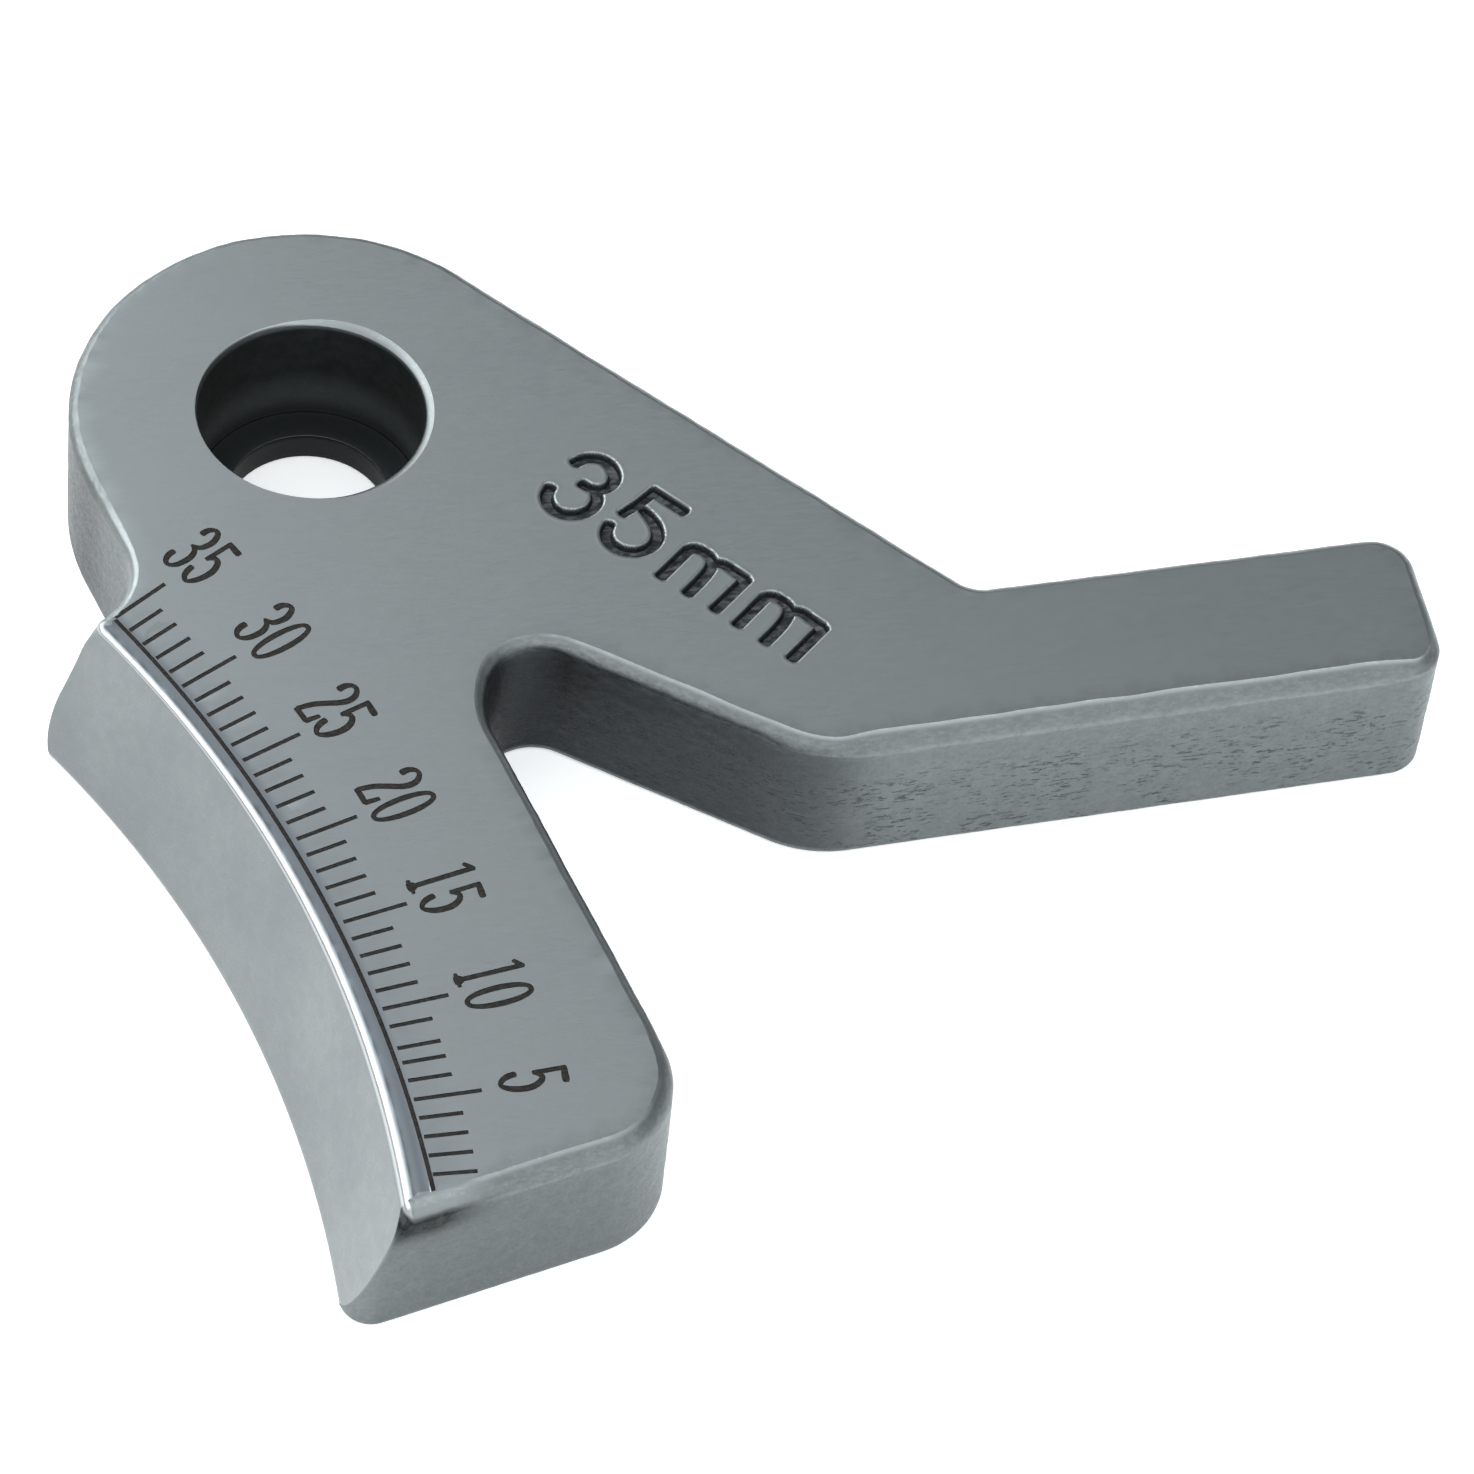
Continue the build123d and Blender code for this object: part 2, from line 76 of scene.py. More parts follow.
def turn_vec(p):
    p = np.asarray(p, float)
    return Vector((CT * p[0] - ST * p[1], ST * p[0] + CT * p[1], p[2]))


# ---------------------------------------------------------------------------
# plan outline
# ---------------------------------------------------------------------------
def wall(s):
    a = math.radians(s[0])
    return (math.cos(a), math.sin(a), s[1])


def foot(c, w):
    k = w[2] - (w[0] * c[0] + w[1] * c[1])
    return (c[0] + k * w[0], c[1] + k * w[1])


def corner(s1, s2, r, convex=True):
    w1, w2 = wall(s1), wall(s2)
    o = -r if convex else r
    a, b, e = w1[0], w1[1], w1[2] + o
    c, d, f = w2[0], w2[1], w2[2] + o
    det = a * d - b * c
    m = ((e * d - b * f) / det, (a * f - e * c) / det)
    return m, foot(m, w1), foot(m, w2)


def jaw_corner(spec, r, near):
    w = wall(spec)
    rr = JAW_LAND_R + r
    k = (w[2] - r) - (w[0] * JAW_C[0] + w[1] * JAW_C[1])
    h = math.sqrt(rr * rr - k * k)
    both = [(JAW_C[0] + k * w[0] - s * h * w[1], JAW_C[1] + k * w[1] + s * h * w[0]) for s in (1, -1)]
    c = min(both, key=lambda q: math.hypot(q[0] - near[0], q[1] - near[1]))
    u = JAW_LAND_R / rr
    return c, foot(c, w), (JAW_C[0] + (c[0] - JAW_C[0]) * u, JAW_C[1] + (c[1] - JAW_C[1]) * u)


def arc(c, p, q, convex, step):
    """Points along the short arc p to q about c, with outward normals."""
    a = math.atan2(p[1] - c[1], p[0] - c[0])
    b = math.atan2(q[1] - c[1], q[0] - c[0])
    d = (b - a + math.pi) % (2 * math.pi) - math.pi
    r = math.hypot(p[0] - c[0], p[1] - c[1])
    n = max(3, int(abs(d) * r / step) + 1)
    t = a + d * np.linspace(0, 1, n + 1)
    s = 1.0 if convex else -1.0
    return (np.stack([c[0] + r * np.cos(t), c[1] + r * np.sin(t)], 1),
            s * np.stack([np.cos(t), np.sin(t)], 1))


def line(p, q, step):
    """Points along p to q; the solid is on the right of the way, so the left is outward."""
    p, q = np.array(p, float), np.array(q, float)
    d = q - p
    m = np.hypot(*d)
    n = max(2, int(m / step) + 1)
    t = np.linspace(0, 1, n + 1)[:, None]
    nn = np.array([-d[1], d[0]]) / m
    return p + d * t, np.repeat(nn[None], n + 1, 0)


def chain(parts):
    """Joins runs, dropping each run's first point after the first."""
    p = [parts[0][0]] + [a[1:] for a, _ in parts[1:]]
    n = [parts[0][1]] + [b[1:] for _, b in parts[1:]]
    return np.concatenate(p), np.concatenate(n)


c_in = corner(LEVER_FAR, TAIL_FAR, R_CRANK_IN, False)
c_tf = corner(TAIL_FAR, TAIL_END, R_TAIL_FAR)
c_tn = corner(TAIL_END, TAIL_NEAR, R_TAIL_NEAR)
c_out = corner(TAIL_NEAR, LEVER_NEAR, R_CRANK_OUT)
c_jaw = corner(JAW_BACK, JAW_END, R_JAW_CORNER)
c_wst = corner(HORN_END, WAIST, R_WAIST, False)
c_tip = jaw_corner(JAW_END, R_TIP, (8.0, -44.0))
c_hrn = jaw_corner(HORN_END, R_HORN, (-9.5, -15.5))
wb = wall(JAW_BACK)
gap = wb[2] + R_NOTCH_RUN - (wb[0] * NOTCH_C[0] + wb[1] * NOTCH_C[1])
side = math.sqrt((R_NOTCH_RUN - R_NOTCH) ** 2 - gap ** 2)
RUN_C = (NOTCH_C[0] + gap * wb[0] + side * wb[1], NOTCH_C[1] + gap * wb[1] - side * wb[0])
kx, ky = NOTCH_C[0] - RUN_C[0], NOTCH_C[1] - RUN_C[1]
kk = math.hypot(kx, ky)
NOTCH_J = (NOTCH_C[0] + R_NOTCH * kx / kk, NOTCH_C[1] + R_NOTCH * ky / kk)
NOTCH_A, RUN_B = foot(NOTCH_C, wall(LEVER_NEAR)), foot(RUN_C, wb)


def on_circle(r, deg):
    a = math.radians(deg)
    return (r * math.cos(a), r * math.sin(a))


EYE_A, EYE_B = on_circle(EYE_R, WAIST[0]), on_circle(EYE_R, LEVER_FAR[0])
S_H = tuple(0.5 * (np.array(c_wst[2]) + np.array(EYE_A)))
end_dir = np.array(c_tip[1]) - np.array(c_jaw[2])
end_len = np.hypot(*end_dir)
end_dir /= end_len
S_T = tuple(np.array(c_tip[1]) - end_dir * 4.2)

FAR, NEAR = 0.30, 0.15
runs = [
    ("waist", line(S_H, EYE_A, 0.2)),
    ("eye", arc((0, 0), EYE_A, EYE_B, True, 0.18)),
    ("lever_far", line(EYE_B, c_in[1], FAR)), ("crank_in", arc(c_in[0], c_in[1], c_in[2], False, 0.14)),
    ("tail_far", line(c_in[2], c_tf[1], FAR)), ("tail_far_c", arc(c_tf[0], c_tf[1], c_tf[2], True, 0.14)),
    ("tail_end", line(c_tf[2], c_tn[1], 0.16)), ("tail_near_c", arc(c_tn[0], c_tn[1], c_tn[2], True, 0.14)),
    ("tail_near", line(c_tn[2], c_out[1], NEAR)), ("crank_out", arc(c_out[0], c_out[1], c_out[2], True, NEAR)),
    ("lever_near", line(c_out[2], NOTCH_A, NEAR)), ("notch", arc(NOTCH_C, NOTCH_A, NOTCH_J, False, 0.13)),
    ("notch_run", arc(RUN_C, NOTCH_J, RUN_B, False, 0.16)), ("jaw_back", line(RUN_B, c_jaw[1], 0.2)),
    ("jaw_c", arc(c_jaw[0], c_jaw[1], c_jaw[2], True, NEAR)), ("jaw_end", line(c_jaw[2], S_T, NEAR)),
]
fixed_p, fixed_n = chain([r for _, r in runs])
tags = []
for k, (name, (p, _)) in enumerate(runs):
    tags += [name] * (len(p) if k == 0 else len(p) - 1)
path_a = chain([line(S_T, c_tip[1], 0.02), arc(c_tip[0], c_tip[1], c_tip[2], True, 0.01)])
bl = line(S_H, c_wst[2], 0.02)
path_b = chain([(bl[0], -bl[1]), arc(c_wst[0], c_wst[2], c_wst[1], False, 0.01),
                (line(c_wst[1], c_hrn[1], 0.02)[0], -line(c_wst[1], c_hrn[1], 0.02)[1]),
                arc(c_hrn[0], c_hrn[1], c_hrn[2], True, 0.01)])


def arclen(p):
    return np.concatenate([[0], np.cumsum(np.hypot(*np.diff(p, axis=0).T))])


def at(path, s, u):
    p, n = path
    q = np.stack([np.interp(u, s, p[:, 0]), np.interp(u, s, p[:, 1])], -1)
    m = np.stack([np.interp(u, s, n[:, 0]), np.interp(u, s, n[:, 1])], -1)
    return q, m / np.linalg.norm(m, axis=-1, keepdims=True)


SA, SB = arclen(path_a[0]), arclen(path_b[0])
RHO_A = np.hypot(path_a[0][:, 0] - JAW_C[0], path_a[0][:, 1] - JAW_C[1])
RHO_B = np.hypot(path_b[0][:, 0] - JAW_C[0], path_b[0][:, 1] - JAW_C[1])
NA, NC, NJ, NB = 34, 14, 236, 30


def crossing(rho, s, r):
    """First arc length at which a path comes inside radius r."""
    k = int(np.argmax(rho <= r)) if np.any(rho <= r) else len(rho) - 1
    if k == 0:
        return s[0]
    t = (rho[k - 1] - r) / max(rho[k - 1] - rho[k], 1e-9)
    return s[k - 1] + min(max(t, 0), 1) * (s[k] - s[k - 1])


def jaw_r(z):
    return JAW_R0 + JAW_SLOPE * z


def rc_tip(z):
    s = min(max((z - (THICK - 1.9)) / 1.9, 0), 1)
    return 0.10 + 0.95 * s * s


def rc_horn(z):
    s = min(max((z - (THICK - 1.7)) / 1.7, 0), 1)
    return 0.09 + 0.72 * s * s


def ease(n, k=1.0):
    t = np.linspace(0, 1, n)
    return 1 - (1 - t) ** (1 + k)


def bezier(p0, t0, p1, t1, n):
    """Curve from p0 along t0 to p1 arriving along t1, n inner points, with left normals."""
    cosv = float(np.clip(np.dot(t0, t1), -1, 1))
    th = math.acos(cosv)
    ch = float(np.hypot(*(p1 - p0)))
    h = ch * (2.0 / 3.0) * math.tan(th / 4) / max(math.sin(th / 2), 1e-6) if th > 1e-3 else ch / 3
    a, b = p0 + t0 * h, p1 - t1 * h
    t = np.linspace(0, 1, n + 2)[1:-1, None]
    q = (1 - t) ** 3 * p0 + 3 * (1 - t) ** 2 * t * a + 3 * (1 - t) * t * t * b + t ** 3 * p1
    d = 3 * (1 - t) ** 2 * (a - p0) + 6 * (1 - t) * t * (b - a) + 3 * t * t * (p1 - b)
    d /= np.linalg.norm(d, axis=1, keepdims=True)
    return q, np.stack([-d[:, 1], d[:, 0]], 1)


def level(z):
    """Plan outline at height z: points and outward normals, always the same stations."""
    r = jaw_r(z)
    ua, ub = crossing(RHO_A, SA, r), crossing(RHO_B, SB, r)
    out = [fixed_p[:-1]], [fixed_n[:-1]]
    ends = []
    for path, s, u, rc in ((path_a, SA, ua, rc_tip(z)), (path_b, SB, ub, rc_horn(z))):
        q, n = at(path, s, np.array([u]))
        q, n = q[0], n[0]
        jn = (np.array(JAW_C) - q)
        jn /= np.hypot(*jn)
        tau = math.acos(float(np.clip(np.dot(n, jn), -1, 1)))
        ln = min(rc * math.tan(tau / 2), u * 0.8)
        ends.append((u, ln, math.atan2(q[1] - JAW_C[1], q[0] - JAW_C[0])))
    (ua, la, ta), (ub, lb, tb) = ends
    # end wall and tip, up to the rounded crease
    q, n = at(path_a, SA, (ua - la) * ease(NA, 0.6))
    out[0].append(q); out[1].append(n)
    t0 = np.array([n[-1][1], -n[-1][0]])
    a0, a1 = ta + la / r, tb - lb / r
    th = a0 + (a1 - a0) * np.linspace(0, 1, NJ)
    jp = np.stack([JAW_C[0] + r * np.cos(th), JAW_C[1] + r * np.sin(th)], 1)
    jn = -np.stack([np.cos(th), np.sin(th)], 1)
    tan = np.stack([-np.sin(th), np.cos(th)], 1)
    if a1 < a0:
        tan = -tan
    bq, bn = bezier(q[-1], t0, jp[0], tan[0], NC)
    out[0].append(bq); out[1].append(bn)
    out[0].append(jp); out[1].append(jn)
    hq, hn = at(path_b, SB, (ub - lb) * ease(NB, 0.6))
    hq, hn = hq[::-1], hn[::-1]
    t1 = np.array([hn[0][1], -hn[0][0]])
    bq, bn = bezier(jp[-1], tan[-1], hq[0], t1, NC)
    out[0].append(bq); out[1].append(bn)
    out[0].append(hq[:-1]); out[1].append(hn[:-1])
    # the fixed part starts at S_H, where path B ends, and its last point is path A's first
    return np.concatenate(out[0]), np.concatenate(out[1])


n_fixed = len(fixed_p) - 1
tags = tags[:-1] + ["tip_wall"] * NA + ["tip_c"] * NC + ["jaw"] * NJ + ["horn_c"] * NC + ["horn_wall"] * (NB - 1)
TAG = np.array(tags)
N = len(TAG)
ZL = np.unique(np.concatenate([np.linspace(0, 6.4, 33), np.linspace(6.4, THICK, 57)]))
LP, LN = zip(*[level(z) for z in ZL])
LP, LN = np.array(LP), np.array(LN)
assert LP.shape[1] == N, (LP.shape, N)


def at_z(z):
    """Outline point and normal of every station, each at its own height."""
    z = np.clip(np.broadcast_to(np.asarray(z, float), (N,)), 0, THICK)
    k = np.clip(np.searchsorted(ZL, z, side="right") - 1, 0, len(ZL) - 2)
    t = ((z - ZL[k]) / (ZL[k + 1] - ZL[k]))[:, None]
    i = np.arange(N)
    p = LP[k, i] * (1 - t) + LP[k + 1, i] * t
    n = LN[k, i] * (1 - t) + LN[k + 1, i] * t
    return p, n / np.linalg.norm(n, axis=1, keepdims=True)


def sstep(a, b, x):
    t = np.clip((np.asarray(x, float) - a) / (b - a), 0, 1)
    return t * t * (3 - 2 * t)


# wall lean and edge radius of each station
idx = np.arange(N)
is_jaw = (TAG == "jaw").astype(float)
jaw_first, jaw_last = int(np.argmax(TAG == "jaw")), int(N - 1 - np.argmax(TAG[::-1] == "jaw"))
tipc_first = int(np.argmax(TAG == "tip_c"))
hornc_last = int(N - 1 - np.argmax(TAG[::-1] == "horn_c"))
on_jaw = sstep(tipc_first - 2, jaw_first + 1, idx) * (1 - sstep(jaw_last - 1, hornc_last + 2, idx))
LEAN = math.atan(JAW_SLOPE) * on_jaw
along = np.clip((idx - jaw_first) / (jaw_last - jaw_first), 0, 1)   # 0 at the tip, 1 at the horn
R_EDGE = np.full(N, 0.56)
R_EDGE = np.where(TAG == "eye", 0.52, R_EDGE)
R_EDGE = np.where(TAG == "waist", 0.50, R_EDGE)
R_EDGE = np.where((TAG == "lever_near") | (TAG == "crank_out"), 0.64, R_EDGE)
R_EDGE = np.where((TAG == "tail_near"), 0.80, R_EDGE)
R_EDGE = np.where((TAG == "jaw_end") | (TAG == "tip_wall"), 0.80, R_EDGE)
R_EDGE = np.where(TAG == "jaw_c", 0.74, R_EDGE)
R_EDGE = np.where(TAG == "tip_c", 0.62, R_EDGE)
R_EDGE = np.where(TAG == "jaw", 0.34 + 0.32 * (1 - along) ** 1.3, R_EDGE)
R_EDGE = np.where((TAG == "horn_c") | (TAG == "horn_wall"), 0.40, R_EDGE)
ker = np.hanning(23)[1:-1]
ker /= ker.sum()
R_EDGE = np.convolve(np.concatenate([R_EDGE[-10:], R_EDGE, R_EDGE[:10]]), ker, "valid")
mid_p, _ = at_z(np.full(N, 7.2))
wob = np.array([noise.noise(Vector((p[0] * 0.45, p[1] * 0.45, 3.1))) for p in mid_p])
R_EDGE = R_EDGE * (1 + 0.10 * wob * (1 - 0.6 * on_jaw))
DROP = 0.030 * on_jaw                                               # the face rolls down towards the bevel

CHAMFER = np.select([(TAG == "tail_near") | (TAG == "tail_near_c"), TAG == "crank_out", TAG == "lever_near",
                     (TAG == "notch") | (TAG == "notch_run"), TAG == "jaw_end", TAG == "jaw_c"],
                    [0.88, 0.75, 0.4, 0.2, 0.55, 0.45], 0.0)
CHAMFER = np.convolve(np.concatenate([CHAMFER[-10:], CHAMFER, CHAMFER[:10]]), ker, "valid")
# painted shade: darker wall colour in the notch and along the lever and jaw back where the jaw shades them, and on the
# cranks, eye, waist and end wall to tone them down
PAINTED_SHADE = np.select([TAG == "lever_near", (TAG == "notch") | (TAG == "notch_run"), TAG == "jaw_back", TAG == "crank_in",
                   TAG == "crank_out", TAG == "eye", TAG == "waist", (TAG == "jaw_end") | (TAG == "tip_wall")],
                  [0.92, 1.0, 0.75, 0.3, 0.74, 0.90, 0.78, 0.14], 0.0)
wide_k = np.hanning(41)[1:-1]
wide_k /= wide_k.sum()
PAINTED_SHADE = np.convolve(np.concatenate([PAINTED_SHADE[-19:], PAINTED_SHADE, PAINTED_SHADE[:19]]), wide_k, "valid")
near_tip = np.linalg.norm(mid_p - mid_p[tipc_first], axis=1)
TIP_DARK = np.clip(1.7 * np.exp(-(near_tip / 2.3) ** 2), 0, 1) * ((TAG == "jaw_end") | (TAG == "tip_wall") | (TAG == "tip_c"))
# painted highlight: light lines along the top and the foot of the ground flats on the edges
PAINTED_HIGHLIGHT = np.clip(CHAMFER / 0.5, 0, 1)
# painted shade: on the near, eye and waist walls the darker wall colour starts high on the edge round, which dims the
# highlight there
SHADED_EDGE = np.isin(TAG, ["tail_near", "tail_near_c", "crank_out", "lever_near", "notch", "notch_run", "jaw_end", "jaw_c",
                       "eye", "waist"]).astype(float)
SHADED_EDGE = np.convolve(np.concatenate([SHADED_EDGE[-10:], SHADED_EDGE, SHADED_EDGE[:10]]), ker, "valid")

# ---------------------------------------------------------------------------
# rings of the outer skin, from the scale face down to the underside
# ---------------------------------------------------------------------------
verts, faces = [], []
attr = {k: [] for k in ("side", "edge", "bevel", "bore", "pit", "roll", "shade", "flat", "step", "line", "tip")}


def add(points, **a):
    first = sum(len(v) for v in verts)
    verts.append(np.asarray(points, float))
    n = len(points)
    for k in attr:
        attr[k].append(np.broadcast_to(np.asarray(a.get(k, 0.0), float), (n,)).copy())
    return first


def wrap_quads(a, b, n):
    """Quads between two closed rings whose first indices are a and b, a above b."""
    for i in range(n):
        j = (i + 1) % n
        faces.append((a + i, a + j, b + j, b + i))


PIT_TAGS = {"tail_near": 1.0, "crank_out": 0.9, "tail_near_c": 0.9, "tail_end": 0.8, "lever_near": 0.75, "notch": 0.5,
            "notch_run": 0.4, "jaw_back": 0.5, "jaw_c": 0.25, "jaw_end": 0.12, "tail_far": 0.8, "tail_far_c": 0.8,
            "lever_far": 0.5, "crank_in": 0.6, "eye": 0.35, "waist": 0.3}
PIT = np.array([PIT_TAGS.get(t, 0.08) for t in TAG])
PIT = np.convolve(np.concatenate([PIT[-10:], PIT, PIT[:10]]), ker, "valid")

rings = []
PHI = np.radians([0, 3, 8, 15, 23, 32, 42, 52, 63, 75])
z_t = THICK - R_EDGE + R_EDGE * np.sin(LEAN)
pt, nt = at_z(z_t)
for k, f in enumerate(list(PHI) + [None]):
    phi = (math.pi / 2 - LEAN) if f is None else f * (math.pi / 2 - LEAN) / (math.pi / 2) * 1.0
    inset = R_EDGE * (np.cos(LEAN) - np.sin(phi))
    z = THICK - R_EDGE + R_EDGE * np.cos(phi) - DROP * (1 - 0.0)
    t = (phi / (math.pi / 2 - LEAN))
    # some edges are nearer to a ground flat than to a round
    full = np.maximum(R_EDGE * np.cos(LEAN), 1e-6)
    depth = THICK - R_EDGE + R_EDGE * np.sin(LEAN)
    w_in, w_dn = 1 - inset / full, (THICK - DROP - z) / np.maximum(THICK - depth, 1e-6)
    chord = 0.5 * (w_in + w_dn)
    inset = full * (1 - (w_in + (chord - w_in) * CHAMFER))
    z = THICK - DROP - (THICK - depth) * (w_dn + (chord - w_dn) * CHAMFER)
    p = pt - nt * inset[:, None]
    side_a = SHADED_EDGE * sstep(0.02, 0.30, t) + (1 - SHADED_EDGE) * sstep(0.25, 0.9, t)
    edge_a = np.sin(np.pi * np.clip(t, 0, 1)) ** 0.8
    rings.append(add(np.column_stack([p, z]), side=side_a, edge=edge_a, bevel=on_jaw * sstep(0.1, 0.6, t),
                     pit=PIT * sstep(0.7, 1.0, t), roll=on_jaw, flat=CHAMFER,
                     shade=PAINTED_SHADE * sstep(0.3, 1.0, t), tip=TIP_DARK * sstep(0.68, 0.95, t),
                     line=PAINTED_HIGHLIGHT * (np.exp(-((t - 0.05) / 0.07) ** 2) + 0.55 * np.exp(-((t - 1.0) / 0.12) ** 2))))
top_ring = rings[0]
TOP_PLAN = verts[0][:, :2].copy()
ZW = 40
ru = EDGE_UNDER
z_b = ru + ru * np.sin(LEAN)
for k in range(1, ZW + 1):
    v = k / (ZW + 1)
    z = (z_t - DROP) * (1 - v) + z_b * v
    p, n = at_z(z + DROP * (1 - v))
    rings.append(add(np.column_stack([p, z]), side=1.0, edge=0.35 * (1 - sstep(0.0, 0.10, v)) * (1 - on_jaw), bevel=on_jaw, pit=PIT,
                     roll=0, flat=CHAMFER * (1 - sstep(0.0, 0.05, v)),
                     shade=PAINTED_SHADE, tip=TIP_DARK * math.exp(-((v - 0.06) / 0.11) ** 2)))
pb, nb = at_z(z_b)
for f in np.linspace(0, 1, 6):
    phi = (math.pi / 2 - LEAN) + (math.pi / 2 + LEAN) * f
    p = pb - nb * (ru * (np.cos(LEAN) - np.sin(phi)))[:, None]
    z = ru + ru * np.cos(phi)
    rings.append(add(np.column_stack([p, z]), side=1.0, edge=0.5 * np.sin(np.pi * f), bevel=on_jaw, pit=PIT * (1 - f)))
BOTTOM_PLAN = verts[-1][:, :2].copy()
for a, b in zip(rings[:-1], rings[1:]):
    wrap_quads(a, b, N)

# ---------------------------------------------------------------------------
# bore: mouth, counterbore wall, ledge, through hole
# ---------------------------------------------------------------------------
NBORE = 168
ang = 2 * math.pi * np.arange(NBORE) / NBORE
prof = []
rm, rmx = 0.24, 0.36
for f in np.linspace(0, 1, 9):
    a = f * math.pi / 2
    w_x, w_z = math.sin(a), 1 - math.cos(a)
    c = 0.5 * (w_x + w_z)
    w_x, w_z = w_x + (c - w_x) * 0.55, w_z + (c - w_z) * 0.55
    prof.append((BORE_R + rmx * (1 - w_x), THICK - rm * w_z, f * 0.6))
zf = THICK - BORE_DEPTH
for f in np.linspace(0, 1, 26)[1:]:
    prof.append((BORE_R, (THICK - rm) * (1 - f) + (zf + 0.05) * f, 1.0))
for f in np.linspace(0, 1, 5)[1:]:
    a = f * math.pi / 2
    prof.append((BORE_R - 0.05 + 0.05 * math.cos(a), zf + 0.05 - 0.05 * math.sin(a), 1.0))
for f in np.linspace(0, 1, 5)[1:]:
    prof.append((BORE_R - 0.05 - f * (BORE_R - 0.05 - PIN_R - 0.035), zf, 1.0))
for f in np.linspace(0, 1, 5)[1:]:
    a = f * math.pi / 2
    prof.append((PIN_R + 0.035 - 0.035 * math.sin(a), zf - 0.035 + 0.035 * math.cos(a), 1.0 - 0.3 * math.sin(math.pi * f)))
for f in np.linspace(0, 1, 7)[1:]:
    prof.append((PIN_R, (zf - 0.035) * (1 - f) + 0.03 * f, 0.9))
for f in np.linspace(0, 1, 4)[1:]:
    a = f * math.pi / 2
    prof.append((PIN_R + 0.03 - 0.03 * math.cos(a), 0.03 - 0.03 * math.sin(a), 0.9))
bore_rings = []
# the broken edge of the mouth is wider on one side, which also carries the wear colour and a painted highlight line
wear_and_highlight = 0.25 + 0.75 * sstep(-0.35, 0.60, np.cos(ang - math.radians(12)))
# step marks the ledge, its lip and the through hole, which take painted shade; line is a painted highlight along the
# mouth's top
for r, z, m in prof:
    edge = 1.0 if (z > THICK - rm and z < THICK - 0.01) else 0.0
    r_a = np.where(z > THICK - rm - 1e-6, BORE_R + (r - BORE_R) * wear_and_highlight, r)
    bore_rings.append(add(np.column_stack([r_a * np.cos(ang), r_a * np.sin(ang), np.full(NBORE, z)]),
                          side=m, edge=edge * wear_and_highlight, bore=sstep(0.50, 0.95, m), pit=0.15,
                          step=0.72 if abs(z - zf) < 1e-6 else (1.0 if zf - 0.125 < z < zf + 0.07 and r < BORE_R else (0.88 if z < zf else 0.0)),
                          line=edge * wear_and_highlight * math.exp(-((z - THICK + 0.03) / 0.04) ** 2)))
for a, b in zip(bore_rings[:-1], bore_rings[1:]):
    wrap_quads(b, a, NBORE)


# ---------------------------------------------------------------------------
# strokes of the marks
# ---------------------------------------------------------------------------
def smooth(pts, n=4):
    if len(pts) < 3:
        return list(pts)
    out = []
    p = [pts[0]] + list(pts) + [pts[-1]]
    for i in range(1, len(p) - 2):
        for k in range(n):
            t = k / n
            out.append(tuple(0.5 * (2 * p[i][j] + (p[i + 1][j] - p[i - 1][j]) * t
                                    + (2 * p[i - 1][j] - 5 * p[i][j] + 4 * p[i + 1][j] - p[i + 2][j]) * t * t
                                    + (3 * p[i][j] - p[i - 1][j] - 3 * p[i + 1][j] + p[i + 2][j]) * t ** 3)
                             for j in range(3)))
    out.append(tuple(pts[-1]))
    return out


def ribbon(pts, straight=False, grow=0.0):
    q = list(pts) if straight else smooth(pts)
    left, right = [], []
    n = len(q)
    for i, (x, y, w) in enumerate(q):
        w = w + 2 * grow
        a, b = q[max(i - 1, 0)], q[min(i + 1, n - 1)]
        dx, dy = b[0] - a[0], b[1] - a[1]
        m = math.hypot(dx, dy)
        nx, ny = -dy / m, dx / m
        left.append((x + nx * w / 2, y + ny * w / 2))
        right.append((x - nx * w / 2, y - ny * w / 2))

    def cap(l, r, a, b):
        dx, dy = b[0] - a[0], b[1] - a[1]
        m = math.hypot(dx, dy)
        w = math.hypot(l[0] - r[0], l[1] - r[1]) - 2 * grow
        e = w * 0.22
        return [(l[0] + (r[0] - l[0]) * f + dx / m * (e * g + grow), l[1] + (r[1] - l[1]) * f + dy / m * (e * g + grow))
                for f, g in ((0.18, 0.8), (0.5, 1.0), (0.82, 0.8))]

    end = cap(left[-1], right[-1], q[-2], q[-1])
    start = cap(right[0], left[0], q[1], q[0])
    return left + end + right[::-1] + start


def place(pts, org, turn, sx=1.0, sy=1.0, dx=0.0, dy=0.0):
    c, s = math.cos(turn), math.sin(turn)
    return np.array([(org[0] + (x * sx + dx) * c - (y * sy + dy) * s,
                      org[1] + (x * sx + dx) * s + (y * sy + dy) * c) for x, y in pts])


